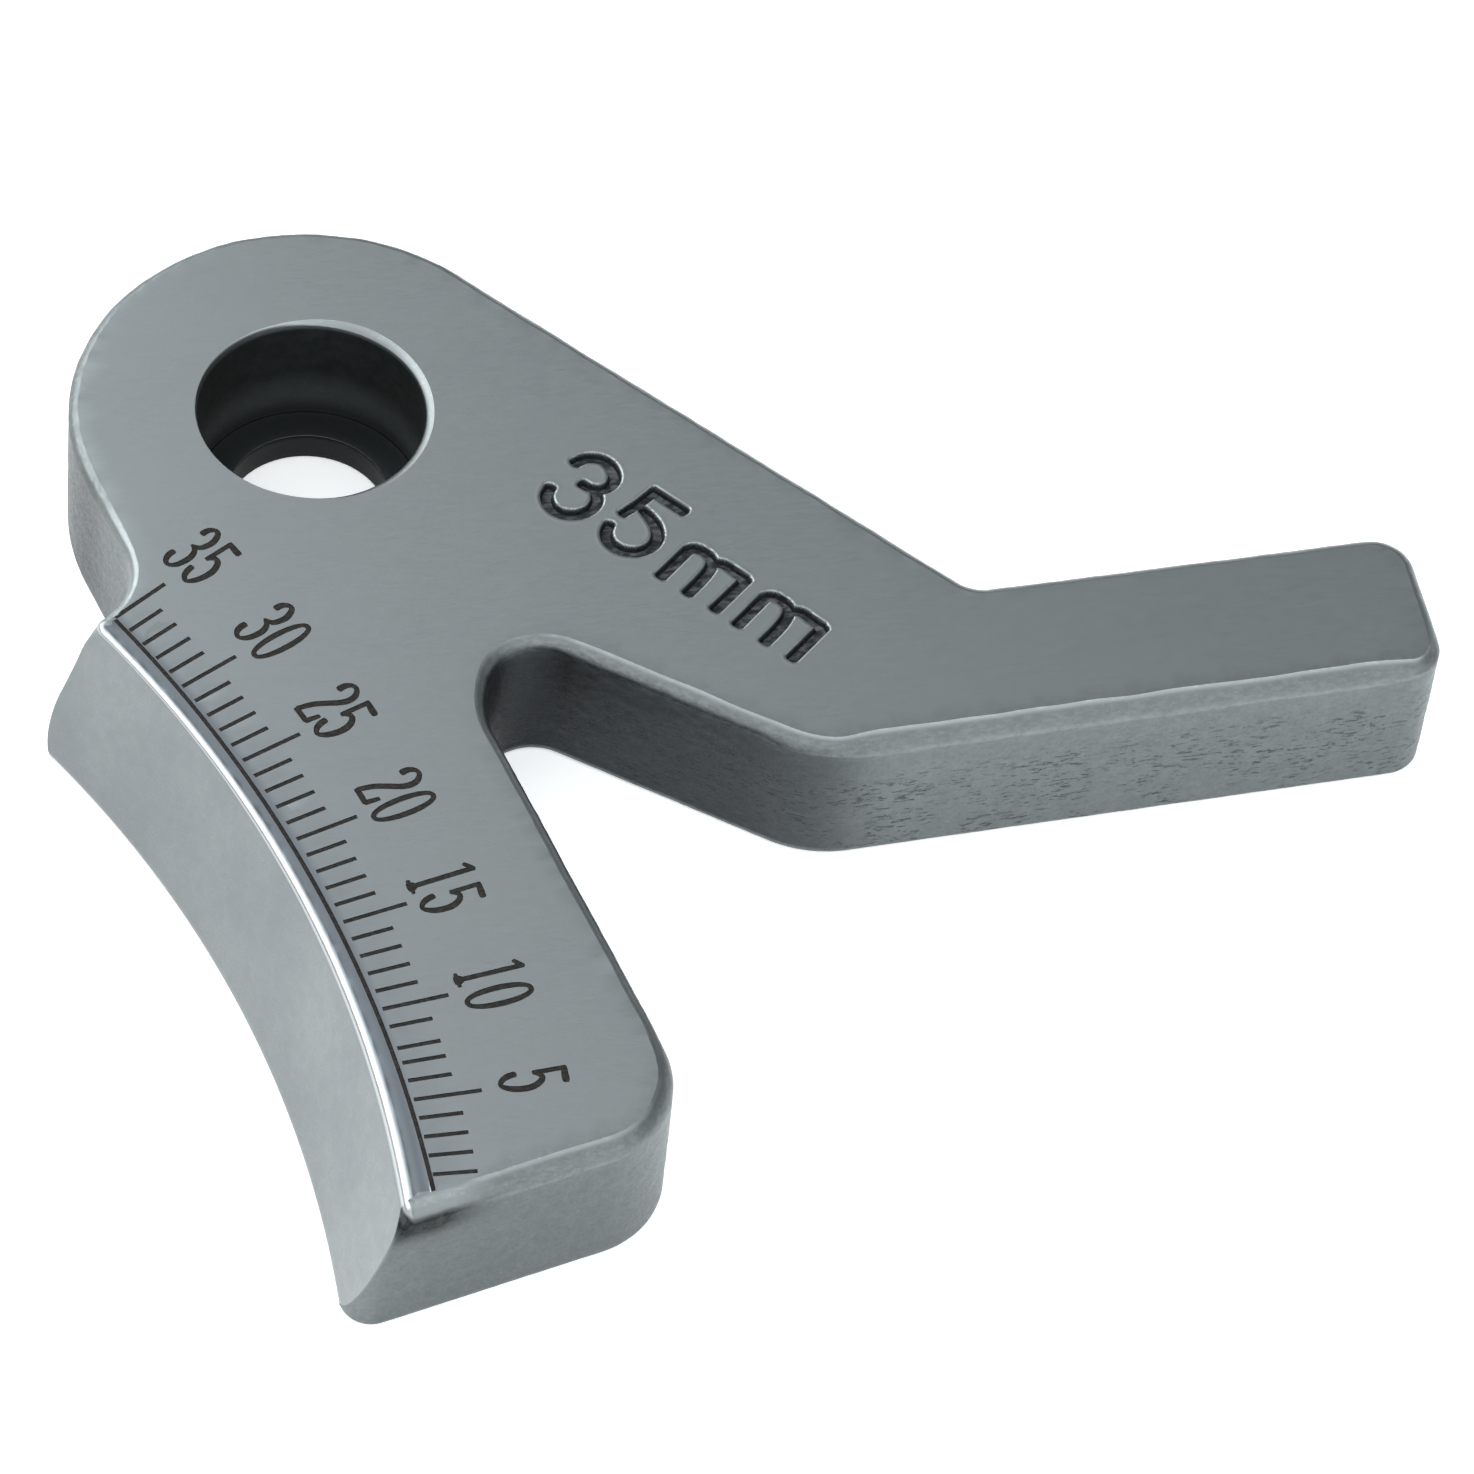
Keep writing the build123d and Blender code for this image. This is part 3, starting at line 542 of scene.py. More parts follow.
DIGIT = {
    "0": [("ring", 0.50, 1.55, 0.43, 1.48, 0.27, 0.21)],
    "1": [("line", [(0.50, 3.05, 0.26), (0.50, 0.10, 0.26)]),
          ("line", [(0.42, 2.95, 0.24), (0.10, 2.72, 0.18)]),
          ("line", [(0.50, 0.18, 0.46), (0.50, 0.0, 0.66)]),
          ("line", [(0.10, 0.02, 0.15), (0.90, 0.02, 0.15)])],
    "2": [("curve", [(0.12, 2.32, 0.30), (0.10, 2.66, 0.27), (0.24, 2.96, 0.20), (0.50, 3.02, 0.20),
                     (0.78, 2.76, 0.26), (0.86, 2.36, 0.28), (0.76, 1.92, 0.27), (0.50, 1.36, 0.26),
                     (0.27, 0.80, 0.25), (0.14, 0.10, 0.22)]),
          ("line", [(0.12, 0.06, 0.24), (0.90, 0.06, 0.24)]),
          ("line", [(0.90, 0.05, 0.24), (0.96, 0.72, 0.18)])],
    "3": [("curve", [(0.12, 2.44, 0.30), (0.14, 2.78, 0.28), (0.36, 3.04, 0.20), (0.60, 2.96, 0.24),
                     (0.80, 2.56, 0.28), (0.80, 2.14, 0.27), (0.68, 1.80, 0.24), (0.38, 1.64, 0.15)]),
          ("curve", [(0.34, 1.66, 0.12), (0.66, 1.52, 0.22), (0.84, 1.18, 0.27), (0.86, 0.76, 0.28),
                     (0.78, 0.34, 0.25), (0.54, 0.05, 0.18), (0.28, 0.14, 0.22), (0.13, 0.42, 0.28),
                     (0.10, 0.74, 0.28)])],
    "5": [("line", [(0.14, 3.06, 0.20), (0.14, 1.62, 0.21)]),
          ("line", [(0.08, 3.00, 0.22), (0.62, 2.93, 0.30), (0.82, 2.92, 0.27)]),
          ("curve", [(0.14, 1.70, 0.22), (0.36, 1.94, 0.22), (0.62, 1.84, 0.25), (0.82, 1.46, 0.28),
                     (0.86, 0.98, 0.28), (0.76, 0.44, 0.26), (0.52, 0.07, 0.18), (0.26, 0.20, 0.23),
                     (0.12, 0.48, 0.27), (0.06, 0.80, 0.26)])],
}
NUMERAL = {
    35: [("3", -1.42, 0.82, 1.00, 0.99), ("5", -0.16, 0.82, 1.02, 1.00)],
    30: [("3", -1.44, 0.72, 1.03, 0.99), ("0", -0.12, 0.69, 0.98, 0.99)],
    25: [("2", -1.48, 0.58, 1.05, 0.98), ("5", -0.20, 0.63, 1.08, 0.98)],
    20: [("2", -1.48, 0.63, 1.05, 0.98), ("0", -0.12, 0.60, 0.98, 0.99)],
    15: [("1", -1.20, 0.50, 0.90, 0.99), ("5", 0.00, 0.50, 1.02, 0.96)],
    10: [("1", -1.02, 0.62, 0.88, 0.99), ("0", 0.20, 0.61, 1.00, 0.98)],
    5: [("5", -0.52, 0.82, 1.03, 0.99)],
}
SIZE_STROKES = [
    ("curve", [(-1.08, 2.42, 0.60), (-0.86, 3.02, 0.60), (-0.34, 3.42, 0.60), (0.28, 3.42, 0.62),
               (0.82, 3.06, 0.62), (1.02, 2.52, 0.60), (0.86, 2.02, 0.58), (0.40, 1.74, 0.52), (-0.14, 1.70, 0.50)]),
    ("curve", [(0.62, 1.84, 0.50), (1.08, 1.36, 0.60), (1.20, 0.76, 0.62), (0.96, 0.12, 0.62),
               (0.38, -0.32, 0.62), (-0.28, -0.34, 0.62), (-0.84, 0.06, 0.62), (-1.06, 0.66, 0.58)]),
    ("line", [(2.62, 3.46, 0.60), (4.62, 3.42, 0.60)]),
    ("line", [(2.78, 3.50, 0.56), (2.66, 2.40, 0.54), (2.46, 1.42, 0.50)]),
    ("curve", [(2.96, 2.30, 0.44), (3.46, 2.16, 0.56), (4.10, 1.88, 0.60), (4.56, 1.36, 0.62),
               (4.66, 0.72, 0.62), (4.36, 0.08, 0.62), (3.74, -0.30, 0.62), (3.06, -0.28, 0.62),
               (2.56, 0.12, 0.60), (2.36, 0.66, 0.54)]),
    ("line", [(6.06, 1.80, 0.60), (6.06, -0.40, 0.62)]),
    ("curve", [(6.06, 1.70, 0.60), (6.26, 1.98, 0.58), (6.70, 2.08, 0.54), (7.18, 1.98, 0.54),
               (7.46, 1.60, 0.58), (7.58, 0.80, 0.62), (7.60, -0.40, 0.62)]),
    ("curve", [(7.44, 1.86, 0.54), (7.86, 2.08, 0.54), (8.40, 2.06, 0.54), (9.14, 2.02, 0.56)]),
    ("line", [(9.14, 2.10, 0.60), (9.12, -0.36, 0.62)]),
    ("line", [(10.44, 1.80, 0.60), (10.44, -0.42, 0.62)]),
    ("curve", [(10.44, 1.70, 0.60), (10.64, 1.98, 0.58), (11.08, 2.08, 0.54), (11.56, 1.98, 0.54),
               (11.84, 1.60, 0.58), (11.98, 0.80, 0.62), (12.00, -0.42, 0.62)]),
    ("curve", [(11.82, 1.86, 0.54), (12.24, 2.10, 0.54), (12.78, 2.06, 0.54), (13.50, 2.02, 0.56)]),
    ("line", [(13.52, 2.10, 0.60), (13.50, -0.40, 0.62)]),
]
GROW, GUARD = 0.020, 0.050


def ring_poly(cx, cy, rx, ry):
    out = []
    for k in range(40):
        t = 2 * math.pi * k / 40
        c = math.cos(t)
        out.append((cx + rx * c * (abs(c) ** -0.12 if abs(c) > 0.05 else 1), cy + ry * math.sin(t)))
    return out


# floors: list of (outer polygon, hole polygon or None); lips: polygons that bound each groove's sides
floors, lips = [], []
for n, cells in NUMERAL.items():
    th = NUM_TH + (n - TICK_MID) * NUM_PITCH
    org = (NUM_C[0] + NUM_R * math.cos(th), NUM_C[1] + NUM_R * math.sin(th))
    for digit, x, y, sx, sy in cells:
        for s in DIGIT[digit]:
            if s[0] == "ring":
                _, cx, cy, rx, ry, ws, wt = s
                g = GROW
                o = place(ring_poly(cx, cy, rx + ws / 2, ry + wt / 2), org, th - math.pi / 2, sx, sy, x, y)
                i = place(ring_poly(cx, cy, rx - ws / 2, ry - wt / 2), org, th - math.pi / 2, sx, sy, x, y)
                o2 = place(ring_poly(cx, cy, rx + ws / 2 + g, ry + wt / 2 + g), org, th - math.pi / 2, sx, sy, x, y)
                i2 = place(ring_poly(cx, cy, rx - ws / 2 - g, ry - wt / 2 - g), org, th - math.pi / 2, sx, sy, x, y)
                floors.append((o, i))
                o3 = place(ring_poly(cx, cy, rx + ws / 2 + GUARD, ry + wt / 2 + GUARD), org, th - math.pi / 2, sx, sy, x, y)
                lips += [o, i, o2, i2, o3]
            else:
                st = s[0] == "line"
                o = place(ribbon(s[1], st), org, th - math.pi / 2, sx, sy, x, y)
                o2 = place(ribbon(s[1], st, GROW), org, th - math.pi / 2, sx, sy, x, y)
                o3 = place(ribbon(s[1], st, GUARD), org, th - math.pi / 2, sx, sy, x, y)
                floors.append((o, None))
                lips += [o, o2, o3]


def tick_poly(n, grow=0.0):
    th = TICK_TH + (n - TICK_MID) * TICK_PITCH + TICK_SHIFT.get(n, 0.0) / TICK_R
    a = math.radians(TICK_DIR + (n - TICK_MID) * TICK_DIR_STEP)
    ux, uy = math.cos(a), math.sin(a)
    p = (TICK_C[0] + TICK_R * math.cos(th) - grow * ux, TICK_C[1] + TICK_R * math.sin(th) - grow * uy)
    ln = (TICK_LONG if n % 5 == 0 else TICK_SHORT) + 2 * grow
    q = (p[0] + ln * ux, p[1] + ln * uy)
    h = LINE_W / 2 + grow
    return np.array([(p[0] - uy * h, p[1] + ux * h), (q[0] - uy * h, q[1] + ux * h),
                     (q[0] + uy * h, q[1] - ux * h), (p[0] + uy * h, p[1] - ux * h)])


def base_poly(grow=0.0):
    a0 = math.atan2(BASE_END_A[1] - BASE_C[1], BASE_END_A[0] - BASE_C[0]) + grow / BASE_R
    a1 = math.atan2(BASE_END_B[1] - BASE_C[1], BASE_END_B[0] - BASE_C[0]) - grow / BASE_R
    out = []
    for r, order in ((BASE_R + BASE_W / 2 + grow, range(37)), (BASE_R - BASE_W / 2 - grow, range(36, -1, -1))):
        for i in order:
            t = a0 + (a1 - a0) * i / 36
            out.append((BASE_C[0] + r * math.cos(t), BASE_C[1] + r * math.sin(t)))
    return np.array(out)


for n in range(1, 36):
    floors.append((tick_poly(n), None))
    lips += [tick_poly(n), tick_poly(n, GROW), tick_poly(n, GUARD)]
floors.append((base_poly(), None))
lips += [base_poly(), base_poly(GROW), base_poly(GUARD)]
size_polys = [place(ribbon(pts, kind == "line"), SIZE_ORG, math.radians(SIZE_TURN)) for kind, pts in SIZE_STROKES]


def seg_dist(pts, poly):
    a, b = poly, np.roll(poly, -1, 0)
    d = b - a
    t = np.clip(((pts[:, None] - a) * d).sum(-1) / np.maximum((d * d).sum(-1), 1e-12), 0, 1)
    return np.sqrt((((pts[:, None] - a) - t[..., None] * d) ** 2).sum(-1)).min(1)


def inside(pts, poly):
    a, b = poly, np.roll(poly, -1, 0)
    y = pts[:, 1:2]
    cond = (a[:, 1] > y) != (b[:, 1] > y)
    with np.errstate(divide="ignore", invalid="ignore"):
        x = (b[:, 0] - a[:, 0]) * (y - a[:, 1]) / (b[:, 1] - a[:, 1]) + a[:, 0]
    return (np.sum(cond & (pts[:, 0:1] < x), axis=1) % 2) == 1


def signed(pts, poly):
    d = seg_dist(pts, poly)
    return np.where(inside(pts, poly), -d, d)


def near(pts, poly, m):
    return ((pts[:, 0] > poly[:, 0].min() - m) & (pts[:, 0] < poly[:, 0].max() + m)
            & (pts[:, 1] > poly[:, 1].min() - m) & (pts[:, 1] < poly[:, 1].max() + m))


def groove_dist(pts):
    out = np.full(len(pts), 9.0)
    for o, hole in floors:
        k = np.nonzero(near(pts, o, 0.3))[0]
        if len(k):
            d = signed(pts[k], o)
            if hole is not None:
                d = np.maximum(d, -signed(pts[k], hole))
            out[k] = np.minimum(out[k], d)
    return out


def size_dist(pts):
    out = np.full(len(pts), 9.0)
    for o in size_polys:
        k = np.nonzero(near(pts, o, 1.0))[0]
        if len(k):
            out[k] = np.minimum(out[k], signed(pts[k], o))
    return out


# ---------------------------------------------------------------------------
# scale face
# ---------------------------------------------------------------------------
R_ROLL = jaw_r(THICK - 0.45 + 0.45 * math.sin(math.atan(JAW_SLOPE))) + 0.45 * math.cos(math.atan(JAW_SLOPE))


def roll_drop(p):
    """How far the face has rolled down close to the bevel."""
    s = np.hypot(p[:, 0] - JAW_C[0], p[:, 1] - JAW_C[1]) - R_ROLL
    return 0.030 * np.clip(1 - np.maximum(s, 0) / 1.25, 0, 1) ** 2


def in_plan(p, margin):
    k = inside(p, TOP_PLAN)
    k[k] = seg_dist_big(p[k], TOP_PLAN) > margin
    k &= np.hypot(p[:, 0], p[:, 1]) > BORE_R + rm + margin
    return k


def seg_dist_big(pts, poly):
    return np.concatenate([seg_dist(pts[i:i + 400], poly) for i in range(0, len(pts), 400)]) if len(pts) else np.zeros(0)


pts = []
g = 0.85
gx, gy = np.meshgrid(np.arange(-12, 53, g), np.arange(-46, 22, g * 0.866))
gx = gx + (np.arange(gx.shape[0])[:, None] % 2) * g / 2
grid = np.column_stack([gx.ravel(), gy.ravel()])
sz = place([(-1.9, -1.2), (14.6, -1.2), (14.6, 4.5), (-1.9, 4.5)], SIZE_ORG, math.radians(SIZE_TURN))
grid = grid[in_plan(grid, 0.35) & ~inside(grid, sz)]
pts.append(grid)
# rows that follow the bevel's edge
for s in (0.12, 0.28, 0.5, 0.8, 1.25):
    a0 = math.atan2(TOP_PLAN[jaw_first, 1] - JAW_C[1], TOP_PLAN[jaw_first, 0] - JAW_C[0])
    a1 = math.atan2(TOP_PLAN[jaw_last, 1] - JAW_C[1], TOP_PLAN[jaw_last, 0] - JAW_C[0])
    t = np.linspace(a0, a1, 90)
    row = np.column_stack([JAW_C[0] + (R_ROLL + s) * np.cos(t), JAW_C[1] + (R_ROLL + s) * np.sin(t)])
    pts.append(row[in_plan(row, 0.06)])
# fine net over the deep mark
h = 0.062
n_u, n_v = int(16.5 / h), int(5.7 / h)
uu, vv = np.meshgrid(-1.9 + h * np.arange(n_u + 1), -1.2 + h * np.arange(n_v + 1))
uu = uu + (np.arange(uu.shape[0])[:, None] % 2) * h / 2
net = place(np.column_stack([uu.ravel(), vv.ravel()]), SIZE_ORG, math.radians(SIZE_TURN))
dn = size_dist(net)
keep = dn < 0.42
ring2 = (dn >= 0.42) & (np.arange(len(dn)) % 37 == 0)
pts.append(net[keep])
pts.append(net[ring2])
free = np.concatenate(pts)

coords, loops = [], []


def add_loop(poly):
    """The triangulation wants its loops counter-clockwise; the points keep their order."""
    first = len(coords)
    poly = np.asarray(poly)
    coords.extend((float(x), float(y)) for x, y in poly)
    ids = list(range(first, first + len(poly)))
    q = np.roll(poly, -1, 0)
    loops.append(ids if np.sum(poly[:, 0] * q[:, 1] - q[:, 0] * poly[:, 1]) > 0 else ids[::-1])


add_loop(TOP_PLAN)
bore_plan = verts[len(rings)][:, :2]
add_loop(bore_plan)
n_bound = len(coords)
for p in lips:
    add_loop(p)
coords.extend((float(x), float(y)) for x, y in free)
vo, _, fo, ov, _, of_ = delaunay_2d_cdt([Vector(c) for c in coords], [], loops, 0, 1e-5, True)
top_xy = np.array([(v[0], v[1]) for v in vo])
back = {}
for k, o in enumerate(ov):
    for i in o:
        if i < n_bound:
            back[k] = top_ring + i if i < N else bore_rings[0] + (i - N)
keep_f = [f for f, src in zip(fo, of_) if 0 in src and 1 not in src]
used = sorted({i for f in keep_f for i in f if i not in back})
xy = top_xy[used]
gd = groove_dist(xy)
sd = size_dist(xy)
ztop = THICK - roll_drop(xy)
ztop -= MARK_DEPTH * np.clip(1 - np.maximum(gd, 0) / (0.70 * GROW), 0, 1)
sd = sd - 0.04
lipz = 0.040 * np.clip((0.03 - sd) / 0.09, 0, 1) ** 2
deep = (SIZE_DEPTH - 0.040) * sstep(-0.02, -0.17, sd)
burr = 0.002 * np.exp(-((sd - 0.11) / 0.05) ** 2)
rough = np.array([noise.noise(Vector((x * 3.1, y * 3.1, 1.7))) for x, y in xy])
ztop += np.where(sd < 0.45, -lipz - deep * (1 + 0.06 * rough) + burr * (1 + 0.8 * rough), 0)
first = add(np.column_stack([xy, ztop]))
size_dark = np.zeros(sum(len(v) for v in verts))
size_dark[first:] = sstep(0.015, -0.055, sd)
size_lip = np.zeros(len(size_dark))
size_lip[first:] = np.exp(-((sd - 0.03) / 0.05) ** 2)
roll_a = np.clip(1 - np.maximum(np.hypot(xy[:, 0] - JAW_C[0], xy[:, 1] - JAW_C[1]) - R_ROLL, 0) / 3.0, 0, 1)
attr["roll"][-1][:] = roll_a
local = {k: first + i for i, k in enumerate(used)}
local.update(back)
for f in keep_f:
    a = [local[i] for i in f]
    if len(set(a)) == 3:
        faces.append(tuple(a))

# underside
coords, loops = [], []
add_loop(BOTTOM_PLAN)
add_loop(verts[len(rings) + len(bore_rings) - 1][:, :2])
n_b = len(coords)
gb = 2.0
gx, gy = np.meshgrid(np.arange(-12, 53, gb), np.arange(-46, 22, gb))
grid = np.column_stack([gx.ravel(), gy.ravel()])
k = inside(grid, BOTTOM_PLAN) & (np.hypot(grid[:, 0], grid[:, 1]) > PIN_R + 0.7)
k[k] = seg_dist_big(grid[k], BOTTOM_PLAN) > 0.6
coords.extend((float(x), float(y)) for x, y in grid[k])
vo, _, fo, ov, _, of_ = delaunay_2d_cdt([Vector(c) for c in coords], [], loops, 0, 1e-5, True)
back = {}
for k, o in enumerate(ov):
    for i in o:
        if i < n_b:
            back[k] = rings[-1] + i if i < N else bore_rings[-1] + (i - N)
keep_f = [f for f, src in zip(fo, of_) if 0 in src and 1 not in src]
used = sorted({i for f in keep_f for i in f if i not in back})
first_b = add([(vo[i][0], vo[i][1], 0.0) for i in used], side=0.6)
local = {k: first_b + i for i, k in enumerate(used)}
local.update(back)
for f in keep_f:
    a = [local[i] for i in f][::-1]
    if len(set(a)) == 3:
        faces.append(tuple(a))

V = np.concatenate(verts)
A = {k: np.concatenate(v) for k, v in attr.items()}
nv = len(V)
A["size_dark"] = np.concatenate([size_dark, np.zeros(nv - len(size_dark))])
A["size_lip"] = np.concatenate([size_lip, np.zeros(nv - len(size_lip))])

# ---------------------------------------------------------------------------
# the skin is not perfectly true: forged walls, hand-broken edges
# ---------------------------------------------------------------------------
mesh = bpy.data.meshes.new("steel_arm_skin")
mesh.from_pydata([tuple(v) for v in V], [], faces)
mesh.validate(verbose=False)
vn = np.zeros(nv * 3)
mesh.vertices.foreach_get("normal", vn)
vn = vn.reshape(-1, 3)
skin = len(rings) * N
disp = np.zeros(nv)
side_w = A["side"] * (1 - 0.9 * A["bevel"]) * (1 - A["bore"])
edge_w = A["edge"] * (1 - 0.85 * A["bevel"]) * (1 - A["bore"])
for i in range(skin):
    sw, ew = side_w[i], edge_w[i]
    if sw < 0.02 and ew < 0.02:
        continue
    x, y, z = V[i]
    if z < 0.4:
        sw *= max(z - 0.05, 0) / 0.35
    a = noise.noise(Vector((x * 0.40, y * 0.40, z * 0.55)))
    b = noise.noise(Vector((x * 1.5 + 9, y * 1.5, z * 2.2)))
    c = noise.noise(Vector((x * 3.6, y * 3.6 + 5, z * 5.2)))
    disp[i] = sw * (0.018 * a + (0.010 + 0.012 * A["pit"][i]) * b - 0.016 * A["pit"][i] * max(c - 0.12, 0) * 2.2) \
        + ew * (0.012 * b + 0.010 * c)
V = V + vn * disp[:, None]
V[:, 2] = np.clip(V[:, 2], 0.0, THICK + 0.03)
P = to_row(V)
mesh.vertices.foreach_set("co", P.ravel())
mesh.update()
import bmesh
bm = bmesh.new()
bm.from_mesh(mesh)
for _round in range(4):                      # close the small gaps left at the jaw's sharp corners
    gaps = [e for e in bm.edges if len(e.link_faces) == 1]
    if not gaps:
        break
    for f in bmesh.ops.holes_fill(bm, edges=gaps, sides=0)["faces"]:
        f.smooth = True
bmesh.ops.recalc_face_normals(bm, faces=bm.faces)
bm.to_mesh(mesh)
open_edges = sum(1 for e in bm.edges if len(e.link_faces) != 2)
bm.free()
print("arm mesh: verts", len(mesh.vertices), "faces", len(mesh.polygons), "edges not shared by two faces", open_edges)
for k, vals in A.items():
    at_ = mesh.attributes.new("m_" + k, "FLOAT", "POINT")
    at_.data.foreach_set("value", vals.astype(np.float32))
mesh.polygons.foreach_set("use_smooth", [True] * len(mesh.polygons))
mesh.set_sharp_from_angle(angle=math.radians(42))
# the face stops at a clear line where it meets a ground flat and the bore's broken edge
ends = np.empty(2 * len(mesh.edges), np.int32)
mesh.edges.foreach_get("vertices", ends)
ends = ends.reshape(-1, 2)
stop = np.zeros(len(mesh.vertices), bool)
stop[rings[0]:rings[0] + N] = CHAMFER > 0.05
stop[bore_rings[0]:bore_rings[0] + NBORE] = True
hard = np.empty(len(mesh.edges), bool)
mesh.edges.foreach_get("use_edge_sharp", hard)
hard |= stop[ends[:, 0]] & stop[ends[:, 1]]
mesh.edges.foreach_set("use_edge_sharp", hard)
arm = bpy.data.objects.new("steel_arm_finished", mesh)
bpy.context.scene.collection.objects.link(arm)


# ---------------------------------------------------------------------------
# materials
# ---------------------------------------------------------------------------
def new_mat(name):
    m = bpy.data.materials.new(name)
    m.use_nodes = True
    nt = m.node_tree
    nt.nodes.clear()
    out = nt.nodes.new("ShaderNodeOutputMaterial")
    bsdf = nt.nodes.new("ShaderNodeBsdfPrincipled")
    nt.links.new(bsdf.outputs["BSDF"], out.inputs["Surface"])
    return m, nt, bsdf


class Kit:
    """Short names for the nodes used below."""

    def __init__(self, nt):
        self.nt = nt

    def link(self, src, dst):
        self.nt.links.new(src, dst)

    def put(self, sock, v):
        if hasattr(v, "is_output"):
            self.link(v, sock)
        else:
            sock.default_value = v

    def coords(self, scale=(1, 1, 1), rot=(0, 0, 0)):
        tc = self.nt.nodes.new("ShaderNodeTexCoord")
        mp = self.nt.nodes.new("ShaderNodeMapping")
        mp.inputs["Scale"].default_value = scale
        mp.inputs["Rotation"].default_value = rot
        self.link(tc.outputs["Object"], mp.inputs["Vector"])
        return mp.outputs["Vector"]

    def noise(self, vec, scale, detail=2.0, rough=0.5, distort=0.0):
        n = self.nt.nodes.new("ShaderNodeTexNoise")
        self.link(vec, n.inputs["Vector"])
        n.inputs["Scale"].default_value = scale
        n.inputs["Detail"].default_value = detail
        n.inputs["Roughness"].default_value = rough
        n.inputs["Distortion"].default_value = distort
        return n.outputs["Fac"]

    def attr(self, name):
        a = self.nt.nodes.new("ShaderNodeAttribute")
        a.attribute_type = "GEOMETRY"
        a.attribute_name = name
        return a.outputs["Fac"]

    def math(self, op, a, b=0.0, c=0.0, clamp=False):
        m = self.nt.nodes.new("ShaderNodeMath")
        m.operation = op
        m.use_clamp = clamp
        for s, v in zip(m.inputs, (a, b, c)):
            self.put(s, v)
        return m.outputs[0]

    def ramp(self, v, lo, hi, out0=0.0, out1=1.0):
        m = self.nt.nodes.new("ShaderNodeMapRange")
        m.interpolation_type = "SMOOTHSTEP"
        for k, x in (("Value", v), ("From Min", lo), ("From Max", hi), ("To Min", out0), ("To Max", out1)):
            self.put(m.inputs[k], x)
        return m.outputs[0]

    def mix(self, f, a, b):
        m = self.nt.nodes.new("ShaderNodeMix")
        m.data_type = "RGBA"
        self.put(m.inputs[0], f)
        self.put(m.inputs[6], a)
        self.put(m.inputs[7], b)
        return m.outputs[2]

    def lerp(self, f, a, b):
        m = self.nt.nodes.new("ShaderNodeMix")
        m.data_type = "FLOAT"
        self.put(m.inputs[0], f)
        self.put(m.inputs[2], a)
        self.put(m.inputs[3], b)
        return m.outputs[0]

    def bump(self, height, distance, strength=1.0, normal=None):
        b = self.nt.nodes.new("ShaderNodeBump")
        b.inputs["Strength"].default_value = strength
        b.inputs["Distance"].default_value = distance
        self.link(height, b.inputs["Height"])
        if normal is not None:
            self.link(normal, b.inputs["Normal"])
        return b.outputs["Normal"]


